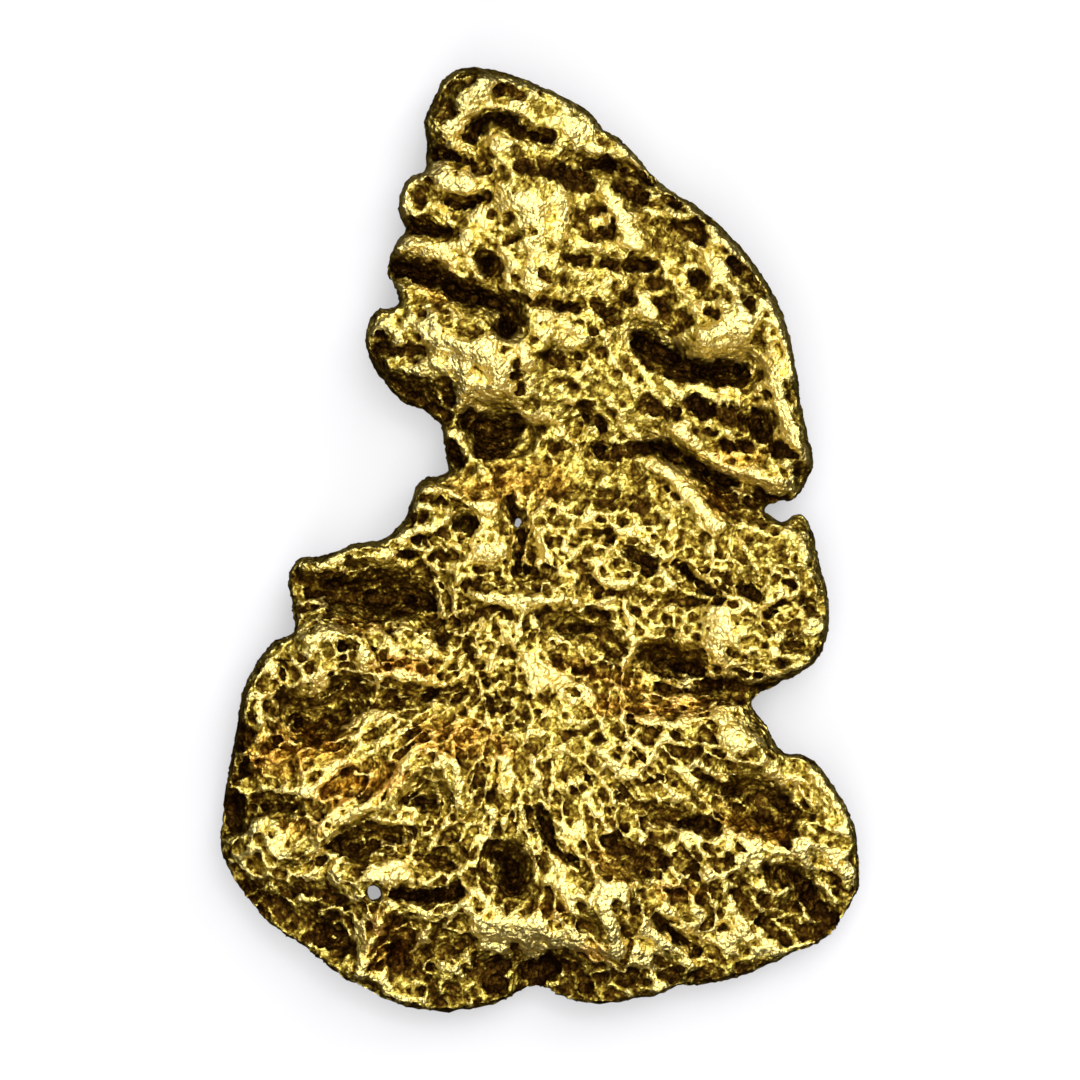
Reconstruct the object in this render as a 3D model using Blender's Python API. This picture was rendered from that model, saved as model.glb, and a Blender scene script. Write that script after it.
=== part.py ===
"""A gold nugget: one flat, water-worn piece of native gold about 24 mm long, lying on its flatter side.

The nugget is one natural piece, so it is one closed faceted solid. Seen from above it has a crown
with a pointed tip, a neck with a notch on each side, a middle, and a broad foot whose lower edge
slopes away. Its silhouette is a closed curve through hand-placed points. Its upper and lower sides
are height fields over that silhouette: broad swells, then ridges and hollows laid along short
paths, then a little lumpy noise. Two small openings run right through it.

The shape is worked out in millimetres and its mesh is made in metres: +Z is up, +Y points to the
crown, and the origin is under the middle of the bounding box, on the surface the nugget rests on.
"""

import bmesh
import bpy
import numpy as np
from mathutils import Vector, noise
from mathutils.geometry import delaunay_2d_cdt

# Driving dimensions, in millimetres. The silhouette below is 16.0 wide and 23.7 long.
MM = 0.001
FACE_HEIGHT = 2.15          # the general level of the upper side
RIM_HEIGHT = 1.05           # the widest line of the edge, where the upper and lower sides meet
UNDERSIDE_HEIGHT = 0.28     # the general level of the lower side, above its worn rest pads
UPPER_ROUNDING = 0.32       # how far in from the edge the upper side is still rounding off
LOWER_ROUNDING = 1.50
LEAST_RISE = 0.15           # the upper side never dips nearer than this to the rim's height
DIP_SOFTNESS = 0.12
OPENING_LIFT = 0.75         # how high the underside arches round the two openings
FINE_SPACING = 0.32         # mesh spacing where the surface bends
EDGE_SPACING = 0.36         # mesh spacing along the silhouette and its inner rings
PATH_SPACING = 0.26         # mesh spacing along the ridges and hollows
CLOSEST_POINTS = 0.16       # two points inside the silhouette are never nearer than this
FLANK = 0.72                # a ridge also gets points on its flanks, this share of its reach away
INNER_RINGS = (0.13, 0.32)
UPPER_FLATNESS = 0.050      # a fine point is left out where the surface bends less than this
LOWER_FLATNESS = 0.070
OPENING_CLEARANCE = 0.12
LUMP_SIZE = 0.85            # the pattern of small lumps all over: how far apart, and how high
LUMP_HEIGHT = 0.17
UNDER_LUMP_HEIGHT = 0.24
WANDER_SIZE = 1.1           # ridges and hollows wander off their paths: over what length, how far
WANDER = 0.16
NOISE_STRETCH = 1.6         # brings the noise, which stays within about 0.6, up to 1
SMALLEST_LENGTH = 1e-6

# The silhouette, clockwise from the tip.
OUTLINE = [
    # the tip, then down the crown's right rim
    (-2.05, 11.82), (-1.45, 11.82), (-0.90, 11.72), (0.12, 11.35), (1.00, 10.90), (1.32, 10.68),
    (1.60, 10.32), (1.95, 10.10), (2.33, 9.78), (2.95, 9.05), (3.38, 8.72), (3.83, 8.45),
    (4.58, 7.85), (4.97, 7.45), (5.62, 6.62), (6.17, 5.50), (6.38, 4.75), (6.55, 3.58),
    (6.78, 2.42), (6.88, 2.00), (6.83, 1.65), (6.65, 1.35),
    # the right notch between crown and middle
    (6.50, 1.07), (6.33, 0.93), (6.05, 0.94), (5.80, 0.88), (5.62, 0.75), (5.78, 0.64),
    (6.12, 0.50), (6.33, 0.65), (6.53, 0.71), (6.72, 0.55),
    # the middle's right side and the lower right notch
    (6.85, 0.25), (6.95, -0.20), (7.22, -1.25), (7.28, -1.77), (7.25, -2.30), (7.10, -2.77),
    (6.80, -3.15), (6.47, -3.38), (6.10, -3.55), (5.75, -3.73), (5.29, -4.08), (5.50, -4.35),
    (5.75, -4.67), (5.89, -5.03), (6.12, -5.28), (6.58, -5.33),
    # the right half of the foot, as far as the fold in its lower edge
    (6.88, -5.49), (7.42, -6.17), (7.67, -6.60), (7.89, -7.05), (8.00, -7.62), (8.04, -8.20),
    (7.99, -8.78), (7.80, -9.18), (7.22, -9.95), (6.83, -10.18), (5.88, -10.57), (5.12, -10.93),
    (4.00, -11.15), (3.35, -11.22), (3.00, -11.40), (2.12, -11.57), (1.50, -11.61),
    (0.95, -11.56), (0.57, -11.43), (0.25, -11.28), (-0.07, -11.20),
    # the left half of the foot
    (-0.38, -11.25), (-0.65, -11.43), (-1.00, -11.57), (-1.85, -11.79), (-2.30, -11.82),
    (-2.75, -11.80), (-3.55, -11.62), (-4.30, -11.28), (-4.58, -11.10), (-4.85, -11.03),
    (-5.38, -10.60), (-6.03, -10.07), (-6.78, -9.60), (-7.47, -8.78), (-7.95, -7.88),
    (-8.00, -7.40), (-7.90, -6.42), (-7.65, -5.00), (-7.47, -3.92), (-7.35, -3.50),
    (-6.92, -2.80), (-6.67, -2.50), (-6.38, -2.38),
    # the shelf at the middle's left
    (-6.12, -2.27), (-6.16, -1.90), (-6.30, -1.18), (-6.29, -0.82), (-6.15, -0.55),
    (-5.92, -0.36), (-5.60, -0.39), (-5.25, -0.31), (-4.60, -0.05), (-3.88, 0.04),
    (-3.60, 0.28), (-3.35, 0.57), (-3.26, 0.90), (-3.15, 1.20), (-3.05, 1.45),
    # the neck and the crown's lobed left side, back up to the tip
    (-2.83, 1.61), (-2.50, 1.62), (-2.26, 1.73), (-2.36, 2.00), (-2.42, 2.35), (-2.41, 2.67),
    (-2.50, 2.92), (-2.70, 3.10), (-2.95, 3.25), (-3.35, 3.40), (-3.67, 3.64), (-4.21, 4.40),
    (-4.38, 4.80), (-4.38, 5.22), (-4.22, 5.60), (-4.03, 5.81), (-3.73, 5.81), (-3.50, 5.92),
    (-3.55, 6.15), (-3.70, 6.42), (-3.83, 6.65), (-3.79, 7.00), (-3.67, 7.35), (-3.50, 7.60),
    (-3.33, 7.79), (-3.48, 8.03), (-3.55, 8.35), (-3.50, 8.70), (-3.39, 8.97), (-3.17, 9.16),
    (-2.86, 9.25), (-2.83, 9.55), (-2.83, 9.93), (-2.90, 10.55), (-2.62, 11.12), (-2.52, 11.38),
    (-2.33, 11.62),
]

# The two openings that run right through: a round one in the foot and a slit in the middle.
ROUND_OPENING = [
    (-4.33, -8.66), (-4.24, -8.59), (-4.11, -8.61), (-4.01, -8.67), (-3.95, -8.76), (-3.97, -8.89),
    (-4.03, -8.97), (-4.16, -9.00), (-4.24, -8.93), (-4.30, -8.82),
]
SLIT_OPENING = [
    (-0.70, 0.80), (-0.61, 0.74), (-0.49, 0.61), (-0.42, 0.47), (-0.47, 0.34), (-0.42, 0.17),
    (-0.42, 0.06), (-0.49, 0.14), (-0.58, 0.29), (-0.64, 0.41), (-0.58, 0.53), (-0.68, 0.68),
]

# Broad forms of the upper side: (path, how far they reach from it, how much they rise).
SWELLS = [
    # the crown: its middle, its lower left and lower right lobes, and the ledge inside its right rim
    ([(-1.4, 11.1), (-0.1, 9), (0.25, 7)], 3.00, 0.45),
    ([(-2.75, 5), (-0.5, 4.75)], 2.25, 0.50),
    ([(4.5, 5.4)], 1.90, 0.45),
    ([(4, 7.9), (5.9, 5.5), (6.6, 2.25)], 1.20, 0.30),
    # the neck between crown and middle, deepest at its two ends
    ([(-2.1, 2.25), (0.5, 2.1), (2.5, 2.25)], 1.50, -0.45),
    ([(4, 1.75), (6.5, 1)], 1.25, -0.60),
    # the middle: a shelf at its left, a swelling at its right
    ([(-5.5, -0.5), (-3, 0.9)], 1.25, 0.45),
    ([(5.5, -2)], 2.50, 0.40),
    ([(-1.5, -1.5), (1.5, -1)], 2.00, 0.20),
    # the waist between middle and foot
    ([(2.75, -3.55), (5.6, -3.85)], 1.15, -0.80),
    ([(-6, -4.5), (-3.5, -4), (-1.5, -3.85)], 1.15, -0.35),
    # the foot: its plateau, and the apron that slopes away along its lower edge
    ([(-2.75, -5.4), (0.5, -5.5), (4.5, -5)], 2.25, 0.35),
    ([(-5.75, -2.75), (-3.5, -3.1)], 1.25, 0.35),
    ([(1.5, -8.5)], 2.25, 0.25),
    ([(-7.25, -9.1), (-5, -10.9), (-2.25, -11.75), (-0.9, -11.4)], 2.90, -0.85),
    ([(1.25, -11.5), (2.5, -11.55), (5.5, -10.6), (7.75, -9.25)], 2.60, -0.85),
    ([(-7.8, -6.25), (-7.9, -7.75)], 1.50, -0.45),
]

# Ridges and bosses of the upper side.
RIDGES = [
    # crown
    ([(-1.45, 11.45), (-1.95, 11), (-2.5, 10.35)], 0.50, 0.30),
    ([(-1, 9.9)], 0.45, 0.30),
    ([(-2.5, 9), (-1.8, 8.85)], 0.60, 0.35),
    ([(-3.4, 8.75), (-3.35, 8.1)], 0.35, 0.20),
    ([(-3.6, 7.3), (-1.75, 7.4)], 0.45, 0.28),
    ([(-0.25, 8.75), (0, 6.75)], 1.05, 0.35),
    ([(1.8, 8.85), (2.5, 7.35)], 0.45, 0.30),
    ([(3.75, 8.1), (5, 7.1), (6, 5.85), (6.4, 4), (6.7, 2.25)], 0.40, 0.30),
    ([(4, 4.9), (4.95, 5.4)], 0.75, 0.45),
    ([(-2.5, 5.25), (-1.6, 4.9)], 0.65, 0.30),
    ([(-0.9, 3.9), (-0.25, 5.1)], 0.70, 0.30),
    ([(2.5, 6), (2.9, 4.9)], 0.40, 0.20),
    ([(-2.25, 2.75), (-1.25, 1.6)], 0.40, 0.35),
    ([(3.2, 2.9), (4.05, 2.1), (4.8, 1.75), (6, 1.5)], 0.40, 0.40),
    ([(2.9, 2), (3.75, 1.25), (4.5, 0.45)], 0.35, 0.30),
    # middle
    ([(-3.1, 1.3), (-2.5, 1.25), (-1.6, 0.8), (-1.05, 0.9)], 0.30, 0.30),
    ([(-2.75, 0.25), (-2, -0.1)], 0.30, 0.22),
    ([(-1.25, -0.1)], 0.70, 0.35),
    ([(-5.7, -0.55), (-4.6, -0.2), (-3.5, -0.5)], 0.40, 0.30),
    ([(-2, -0.8), (-2.2, -1.95)], 0.40, 0.35),
    ([(-1.8, -1.55), (-1, -1.3), (-0.05, -1.5), (0.8, -1.35)], 0.35, 0.28),
    ([(-0.4, -1.6), (-0.55, -2.1), (-0.5, -2.65)], 0.30, 0.25),
    ([(3.75, -0.55), (4.8, -1.4)], 0.30, 0.30),
    ([(5.75, -1.5), (6, -0.9), (6.4, -0.8)], 0.30, 0.25),
    ([(7.15, -1.3), (7.2, -2.5), (6.6, -3.2)], 0.40, 0.20),
    # foot
    ([(-6, -2.4), (-5.1, -2.25), (-4.5, -2.55), (-4.2, -3)], 0.40, 0.35),
    ([(-4.1, -3.9), (-3.85, -3.5), (-3.2, -3.4), (-2.25, -3.6)], 0.30, 0.28),
    ([(-7.5, -3.75), (-6.95, -3.3)], 0.55, 0.22),
    ([(0.5, -4), (1.5, -4.5)], 0.50, 0.20),
    ([(4.5, -4.4), (5.3, -5.1)], 0.65, 0.30),
    ([(-7.6, -7.65), (-6.8, -7.3), (-6.35, -7.9), (-5.5, -7.5),
      (-4.85, -8.25), (-4.35, -8.8)], 0.50, 0.40),
    ([(-5.4, -7.4), (-5.1, -6.8), (-4.35, -6.6)], 0.35, 0.30),
    ([(-3.75, -6.6), (-3.3, -5.6), (-2.8, -5.3), (-2.2, -5.7), (-1.95, -6.55)], 0.45, 0.38),
    ([(-3.4, -9.05), (-2.6, -9.3), (-1.75, -8.95)], 0.30, 0.28),
    ([(-3.85, -9.15), (-4.1, -9.65), (-4.5, -10.8)], 0.40, 0.35),
    ([(-1.5, -9.4), (0, -9.6)], 0.65, 0.30),
    ([(1.9, -8.6)], 0.85, 0.32),
    ([(1.5, -9.1), (2, -10.55)], 0.45, 0.35),
    ([(2.6, -9.5), (3.8, -10.65)], 0.45, 0.35),
]

# Valleys, recesses and pits of the upper side.
HOLLOWS = [
    # crown
    ([(-1.6, 10.05), (-1.25, 10.5), (-0.7, 10.5), (0.15, 10)], 0.45, -0.45),
    ([(-2.75, 9.8), (-1.7, 9.4)], 0.45, -0.40),
    ([(-2.25, 8.35), (-1.5, 8.5)], 0.35, -0.30),
    ([(-3.4, 7.8), (-2.3, 7.65)], 0.40, -0.42),
    ([(-3.75, 6.9), (-2.75, 6.6), (-1.75, 6.15), (-0.8, 5.85), (-0.6, 5.25)], 0.55, -0.70),
    ([(-1.25, 6.95)], 0.50, -0.40),
    ([(-0.6, 7.55), (-0.3, 7.7)], 0.30, -0.30),
    ([(1.45, 7.95)], 0.60, -0.42),
    ([(0.5, 9.3), (1.75, 9.3), (2.9, 8.95)], 0.45, -0.42),
    ([(3.9, 7.85)], 0.40, -0.30),
    ([(4.9, 7.1), (5.65, 6.35)], 0.35, -0.38),
    ([(3.9, 6.45)], 0.45, -0.35),
    ([(0.7, 6.95), (1.2, 6.95)], 0.35, -0.30),
    ([(2.25, 6.9), (2.9, 6.8)], 0.40, -0.35),
    ([(0.4, 5.8), (1.05, 5.85)], 0.50, -0.45),
    ([(1.55, 5.6), (2.25, 6.05)], 0.40, -0.30),
    ([(2.5, 5.1), (3.25, 4.75), (4, 4.35), (5.15, 4.3)], 0.65, -0.85),
    ([(0.3, 4.6), (1.05, 4.65)], 0.35, -0.30),
    ([(-3.9, 4.75), (-2.75, 4.7)], 0.40, -0.30),
    ([(-3.9, 3.9), (-2.5, 3.45)], 0.90, -0.50),
    ([(-1.6, 2.9), (-0.55, 2.75)], 0.80, -0.75),
    ([(-2.25, 2.1)], 0.55, -0.45),
    ([(1.25, 3.1), (1, 2.7)], 0.45, -0.40),
    ([(1.5, 2.25)], 0.40, -0.30),
    ([(2.7, 2.55), (3.75, 1.9), (4.9, 1.4), (5.75, 1.05)], 0.45, -0.55),
    ([(5.4, 3.25), (5.6, 2.4)], 0.50, -0.38),
    ([(6.25, 3.7)], 0.35, -0.25),
    ([(6.6, 1.7)], 0.40, -0.35),
    # middle
    ([(-3, 1), (-2.5, 1.05)], 0.30, -0.28),
    ([(-1.9, 0.45)], 0.45, -0.55),
    ([(-3.4, 0.6), (-2.9, 0.6)], 0.30, -0.28),
    ([(-3, -0.05), (-2.4, -0.05)], 0.30, -0.25),
    ([(-3.4, -0.3)], 0.40, -0.30),
    ([(-4.6, -0.55)], 0.40, -0.30),
    ([(-6, -1.3), (-2.5, -1.55)], 1.05, -0.80),
    ([(-0.65, 0.8), (-0.4, 0.25), (-0.55, -0.4), (-0.4, -0.85)], 0.40, -0.60),
    ([(1, 0.25), (1.75, 0.2)], 0.35, -0.30),
    ([(1.9, -0.15), (3, -0.5)], 0.30, -0.25),
    ([(3.5, -0.65), (4.15, -1.15)], 0.35, -0.40),
    ([(4, -1.3), (5.55, -1.2)], 0.35, -0.25),
    ([(2.75, -1.55), (4.5, -1.6)], 0.35, -0.25),
    ([(5.75, -1.8), (6.7, -1.75)], 0.50, -0.42),
    ([(6.25, -2.7), (6.85, -2.6)], 0.30, -0.25),
    ([(0.75, -2.2), (1.7, -2.2)], 0.40, -0.30),
    ([(2.9, -2.9), (3.8, -3.15)], 0.60, -0.42),
    # foot
    ([(-4.9, -2.65)], 0.35, -0.30),
    ([(-4.1, -2.7)], 0.35, -0.28),
    ([(-5.1, -3.6), (-4.4, -3.65)], 0.40, -0.30),
    ([(-6, -4.55), (-5.1, -4.45)], 0.95, -0.40),
    ([(-3.95, -3.9), (-1.8, -3.9)], 0.40, -0.25),
    ([(-6.45, -3.2), (-6.5, -4.15)], 0.35, -0.22),
    ([(-7.4, -5.8)], 0.40, -0.35),
    ([(-7.7, -6.5), (-7.6, -7.15)], 0.45, -0.40),
    ([(-7.1, -6.65), (-6.25, -6.65)], 0.40, -0.30),
    ([(-3.2, -6.5), (-2.55, -6.5)], 0.50, -0.50),
    ([(-5.25, -7.8), (-3.5, -7.5)], 0.60, -0.62),
    ([(-3.05, -7.9), (-2.05, -7.9)], 0.60, -0.45),
    ([(-0.75, -8.15)], 0.85, -0.75),
    ([(0.05, -6.7), (0.45, -7.55), (0.9, -8)], 0.40, -0.38),
    ([(-3.5, -8.8), (-1.8, -8.8)], 0.30, -0.35),
    ([(-4.15, -8.8)], 0.40, -0.45),
    ([(-7.25, -9), (-5.1, -9.6)], 0.90, -0.35),
    ([(-0.05, -11.1), (0, -10.25)], 0.65, -0.30),
    ([(1.65, -8.1), (2.55, -8.35)], 0.35, -0.28),
    ([(2.75, -9.45), (3.4, -9.9), (4, -10.4)], 0.30, -0.30),
    ([(4.7, -6.5), (6.4, -6.55)], 1.05, -0.65),
    ([(2.75, -7.05), (4.05, -7)], 0.40, -0.32),
    ([(6, -8.2), (6.75, -8.6), (7.25, -9.4)], 0.55, -0.42),
    ([(4.9, -8.75)], 0.40, -0.35),
    ([(5.55, -9.5), (6.2, -9.5)], 0.40, -0.25),
    ([(5.4, -4.4), (5.85, -5.05)], 0.45, -0.35),
]

# The lower side: where it stands off the surface, and the worn pads that it rests on.
UNDER_HOLLOWS = [
    ([(-1.5, 7.5), (1.0, 4.5)], 1.80, 0.45),
    ([(3.8, 4.2)], 1.60, 0.40),
    ([(-2.0, 2.0), (5.5, 1.0)], 1.20, 0.40),
    ([(-4.8, -1.6), (-1.5, -2.4)], 1.40, 0.45),
    ([(3.5, -4.0), (5.0, -6.5)], 1.50, 0.40),
    ([(-3.0, -6.4), (-5.8, -5.4)], 1.60, 0.35),
    ([(0.8, -8.6), (0.0, -11.0)], 1.30, 0.55),
    ([(-4.1, -8.8), (-5.2, -10.6)], 1.20, 0.60),
]
REST_PADS = [
    ([(0.8, -2.6), (1.8, -3.0)], 1.60, -0.75),
    ([(-1.4, 9.6)], 1.10, -0.70),
    ([(2.6, 7.0), (3.4, 6.2)], 0.90, -0.65),
    ([(-2.6, 4.9)], 1.00, -0.65),
    ([(-6.2, -7.2)], 1.00, -0.70),
    ([(-2.4, -9.6)], 1.10, -0.70),
    ([(3.6, -9.2)], 1.20, -0.70),
    ([(6.2, -8.0)], 0.90, -0.65),
    ([(5.4, -1.6)], 1.00, -0.65),
]

GOLD_COLOUR = (0.83, 0.57, 0.14, 1.0)
GOLD_ROUGHNESS = 0.32


def clear_scene():
    """Remove whatever objects the file holds."""
    for item in list(bpy.data.objects):
        bpy.data.objects.remove(item, do_unlink=True)


def smooth_loop(points, spacing):
    """Return points about spacing apart along a centripetal Catmull-Rom curve through a closed loop."""
    places = [np.array(point) for point in points]
    count = len(places)
    curve = []
    for index in range(count):
        before, start, end, after = (places[(index + step) % count] for step in (-1, 0, 1, 2))
        knot_1 = np.sqrt(np.linalg.norm(start - before))
        knot_2 = knot_1 + np.sqrt(np.linalg.norm(end - start))
        knot_3 = knot_2 + np.sqrt(np.linalg.norm(after - end))
        pieces = max(1, round(np.linalg.norm(end - start) / spacing))
        for knot in np.linspace(knot_1, knot_2, pieces, endpoint=False):
            a_1 = start + (before - start) * (knot_1 - knot) / knot_1
            a_2 = start + (end - start) * (knot - knot_1) / (knot_2 - knot_1)
            a_3 = end + (after - end) * (knot - knot_2) / (knot_3 - knot_2)
            b_1 = a_1 + (a_2 - a_1) * knot / knot_2
            b_2 = a_2 + (a_3 - a_2) * (knot - knot_1) / (knot_3 - knot_1)
            curve.append(b_1 + (b_2 - b_1) * (knot - knot_1) / (knot_2 - knot_1))
    return np.array(curve)


def distance_to_path(places, path):
    """Return how far each place is from a path of straight pieces, or from a single point."""
    ends = np.array(path if len(path) > 1 else [path[0], path[0]], dtype=float)
    nearest = np.full(len(places), np.inf)
    for start, end in zip(ends, ends[1:]):
        along = end - start
        length_squared = max(float(along @ along), SMALLEST_LENGTH)
        share = np.clip((places - start) @ along / length_squared, 0, 1)
        gap = places - start - share[:, None] * along
        nearest = np.minimum(nearest, np.hypot(gap[:, 0], gap[:, 1]))
    return nearest


def inside_loop(places, loop):
    """Return which places lie inside a closed loop, by counting the sides to their right."""
    inside = np.zeros(len(places), dtype=bool)
    x, y = places[:, 0], places[:, 1]
    for (x_1, y_1), (x_2, y_2) in zip(loop, np.roll(loop, -1, axis=0)):
        if y_1 == y_2:
            continue
        crosses = (y_1 > y) != (y_2 > y)
        inside ^= crosses & (x < x_1 + (y - y_1) * (x_2 - x_1) / (y_2 - y_1))
    return inside


def wander(places):
    """Return a small smooth shift at each place, so that nothing on the nugget runs quite straight."""
    scale = 1 / WANDER_SIZE
    shifts = [noise.noise_vector(Vector((x * scale, y * scale, 0.5))).xy for x, y in places]
    return WANDER * np.array(shifts)


def add_forms(places, forms):
    """Sum the forms at each place: each is highest on its path and fades out smoothly at its reach."""
    shifted = places + wander(places)
    total = np.zeros(len(places))
    for path, reach, rise in forms:
        fade = np.clip(1 - (distance_to_path(shifted, path) / reach) ** 2, 0, None)
        total += rise * fade ** 2
    return total


def lumps(places, level):
    """Return lumpy noise from about -1 to 1 at each place. Another level gives another pattern."""
    octaves = ((1.0, 0.75), (2.1, 0.25))
    values = np.zeros(len(places))
    for frequency, share in octaves:
        scaled = places * frequency / LUMP_SIZE
        values += share * np.array([noise.noise(Vector((x, y, level))) for x, y in scaled])
    return values * NOISE_STRETCH


def edge_rounding(edge_distance, rounding):
    """Return 0 on the silhouette, rising like a quarter circle to 1 at the rounding distance."""
    inward = np.clip((edge_distance - SMALLEST_LENGTH) / rounding, 0, 1)
    return np.sqrt(1 - (1 - inward) ** 2)


def rim_height(places):
    """The edge is thinner on the foot than on the crown, and wanders up and down a little."""
    wander = np.sin(0.9 * places[:, 0] + 0.7) * np.cos(0.55 * places[:, 1])
    return RIM_HEIGHT + 0.015 * places[:, 1] + 0.12 * wander


def loop_distance(places, loop):
    """Return how far each place is from a closed loop."""
    return distance_to_path(places, np.vstack([loop, loop[:1]]))


def upper_height(places, outline):
    """The height of the upper side, in millimetres above the surface the nugget rests on."""
    rounding = edge_rounding(loop_distance(places, outline), UPPER_ROUNDING)
    rim = rim_height(places)
    face = FACE_HEIGHT + add_forms(places, SWELLS + RIDGES + HOLLOWS) + LUMP_HEIGHT * lumps(places, 3.0)
    rise = DIP_SOFTNESS * np.logaddexp(0, (face - rim - LEAST_RISE) / DIP_SOFTNESS) + LEAST_RISE
    return rim + rise * rounding


def lower_height(places, outline):
    """The height of the lower side. It never goes below zero, so its pads are worn flat there."""
    rounding = edge_rounding(loop_distance(places, outline), LOWER_ROUNDING)
    rim = rim_height(places)
    face = UNDERSIDE_HEIGHT + add_forms(places, UNDER_HOLLOWS + REST_PADS)
    face += UNDER_LUMP_HEIGHT * lumps(places, 9.0)
    face += add_forms(places, [(ROUND_OPENING, 0.8, OPENING_LIFT), (SLIT_OPENING, 0.8, OPENING_LIFT)])
    return np.clip(rim + (face - rim) * rounding, 0, rim)


def inner_rings(outline):
    """Return points a little way in from the silhouette, so that its edge is rounded evenly."""
    along = np.roll(outline, -1, axis=0) - np.roll(outline, 1, axis=0)
    inward = np.column_stack([along[:, 1], -along[:, 0]]) / np.linalg.norm(along, axis=1)[:, None]
    rings = []
    for inset in INNER_RINGS:
        ring = outline + inset * inward
        clear = loop_distance(ring, outline) > 0.9 * inset
        rings.append(ring[clear & inside_loop(ring, outline)])
    return np.vstack(rings)


def clear_of_edges(places, outline, openings):
    """Return which places are inside the silhouette and not too near it or an opening."""
    least_distance = INNER_RINGS[-1] + CLOSEST_POINTS
    clear = inside_loop(places, outline) & (loop_distance(places, outline) > least_distance)
    least_distance = OPENING_CLEARANCE + 0.5 * CLOSEST_POINTS
    for opening in openings:
        clear &= ~inside_loop(places, opening) & (loop_distance(places, opening) > least_distance)
    return clear


def nearest_distance(places, others):
    """Return how far each place is from the nearest of the others."""
    gaps = places[:, None, :] - others[None, :, :]
    return np.hypot(gaps[:, :, 0], gaps[:, :, 1]).min(axis=1)


def form_points(forms, outline, openings):
    """Return points along the crest and both flanks of each form, none too near another."""
    found = []
    for path, reach, _ in forms:
        stops = np.array(path, dtype=float)
        if len(path) == 1:
            stops = stops + np.array([(0, 0), (reach, 0)])
        for start, end in zip(stops, stops[1:]):
            along = end - start
            length = np.linalg.norm(along)
            across = np.array([-along[1], along[0]]) / length * reach * FLANK
            for share in np.linspace(0, 1, max(2, round(length / PATH_SPACING) + 1)):
                crest = start + share * along
                found += [crest, crest + across, crest - across]
    found = np.array(found)
    found = found - wander(found)
    found = found[clear_of_edges(found, outline, openings)]
    kept = found[:1]
    for place in found[1:]:
        if nearest_distance(place[None, :], kept)[0] > CLOSEST_POINTS:
            kept = np.vstack([kept, place])
    return kept


def grid_points(outline, openings, height, flatness, anchors):
    """Return a staggered grid inside the silhouette: coarse, and fine where the height bends."""
    low = outline.min(axis=0)
    columns, rows = np.ceil((outline.max(axis=0) - low) / FINE_SPACING).astype(int) + 1
    row, column = np.meshgrid(np.arange(rows), np.arange(columns), indexing="ij")
    x = low[0] + (column + 0.5 * (row % 2)) * FINE_SPACING
    y = low[1] + row * FINE_SPACING
    places = np.column_stack([x.ravel(), y.ravel()])
    coarse = ((row % 2 == 0) & ((column + row // 2) % 2 == 0)).ravel()
    keep = clear_of_edges(places, outline, openings)
    keep &= nearest_distance(places, anchors) > CLOSEST_POINTS
    places = places[keep]
    coarse = coarse[keep]
    step = FINE_SPACING
    shifts = [(step, 0), (-step, 0), (0, step), (0, -step)]
    around = np.mean([height(places + np.array(shift), outline) for shift in shifts], axis=0)
    bends = np.abs(height(places, outline) - around) > flatness
    return places[coarse | bends]


def opening_rings(openings):
    """Return a ring of points just outside each opening."""
    rings = []
    for opening in openings:
        centre = opening.mean(axis=0)
        away = opening - centre
        rings.append(opening + OPENING_CLEARANCE * away / np.linalg.norm(away, axis=1)[:, None])
    return np.vstack(rings)


def make_side(mesh, outline, openings, height, flatness, forms, facing_up):
    """Triangulate one side, add it to the mesh and return its vertices along each loop."""
    loops = [outline, *openings]
    fixed = np.vstack(loops)
    edges = []
    first = 0
    for loop in loops:
        count = len(loop)
        edges += [(first + index, first + (index + 1) % count) for index in range(count)]
        first += count
    anchors = form_points(forms, outline, openings)
    grid = grid_points(outline, openings, height, flatness, anchors)
    loose = np.vstack([inner_rings(outline), opening_rings(openings), anchors, grid])
    points = [Vector(place) for place in np.vstack([fixed, loose])]
    flat, _, triangles, sources, _, _ = delaunay_2d_cdt(points, edges, [], 1, SMALLEST_LENGTH)
    places = np.array([tuple(point) for point in flat])
    heights = height(places, outline)
    verts = [mesh.verts.new((x * MM, y * MM, z * MM)) for (x, y), z in zip(places, heights)]
    middles = np.array([places[list(triangle)].mean(axis=0) for triangle in triangles])
    solid = inside_loop(middles, outline)
    for opening in openings:
        solid &= ~inside_loop(middles, opening)
    for triangle, is_solid in zip(triangles, solid):
        if is_solid:
            corners = triangle if facing_up else triangle[::-1]
            mesh.faces.new([verts[corner] for corner in corners])
    place_of = {source: number for number, found in enumerate(sources) for source in found}
    rim_verts = [verts[place_of[index]] for index in range(len(fixed))]
    return rim_verts


def join_sides(mesh, upper, lower, outline, openings):
    """Wall each opening between the two sides, and weld the two sides along the silhouette."""
    first = len(outline)
    for opening in openings:
        count = len(opening)
        for index in range(count):
            here = first + index
            following = first + (index + 1) % count
            mesh.faces.new([upper[here], upper[following], lower[following]])
            mesh.faces.new([upper[here], lower[following], lower[here]])
        first += count
    edge = upper[:len(outline)] + lower[:len(outline)]
    bmesh.ops.remove_doubles(mesh, verts=edge, dist=SMALLEST_LENGTH * MM)


def remove_loose_points(mesh):
    """Remove the points that no face uses."""
    loose = [vert for vert in mesh.verts if not vert.link_faces]
    bmesh.ops.delete(mesh, geom=loose, context="VERTS")


def centre_on_origin(mesh):
    """Move the nugget so that the origin is under the middle of its bounding box."""
    corners = np.array([tuple(vert.co) for vert in mesh.verts])
    low = corners.min(axis=0)
    high = corners.max(axis=0)
    middle = Vector(((low[0] + high[0]) / 2, (low[1] + high[1]) / 2, low[2]))
    bmesh.ops.translate(mesh, verts=mesh.verts, vec=-middle)


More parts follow.
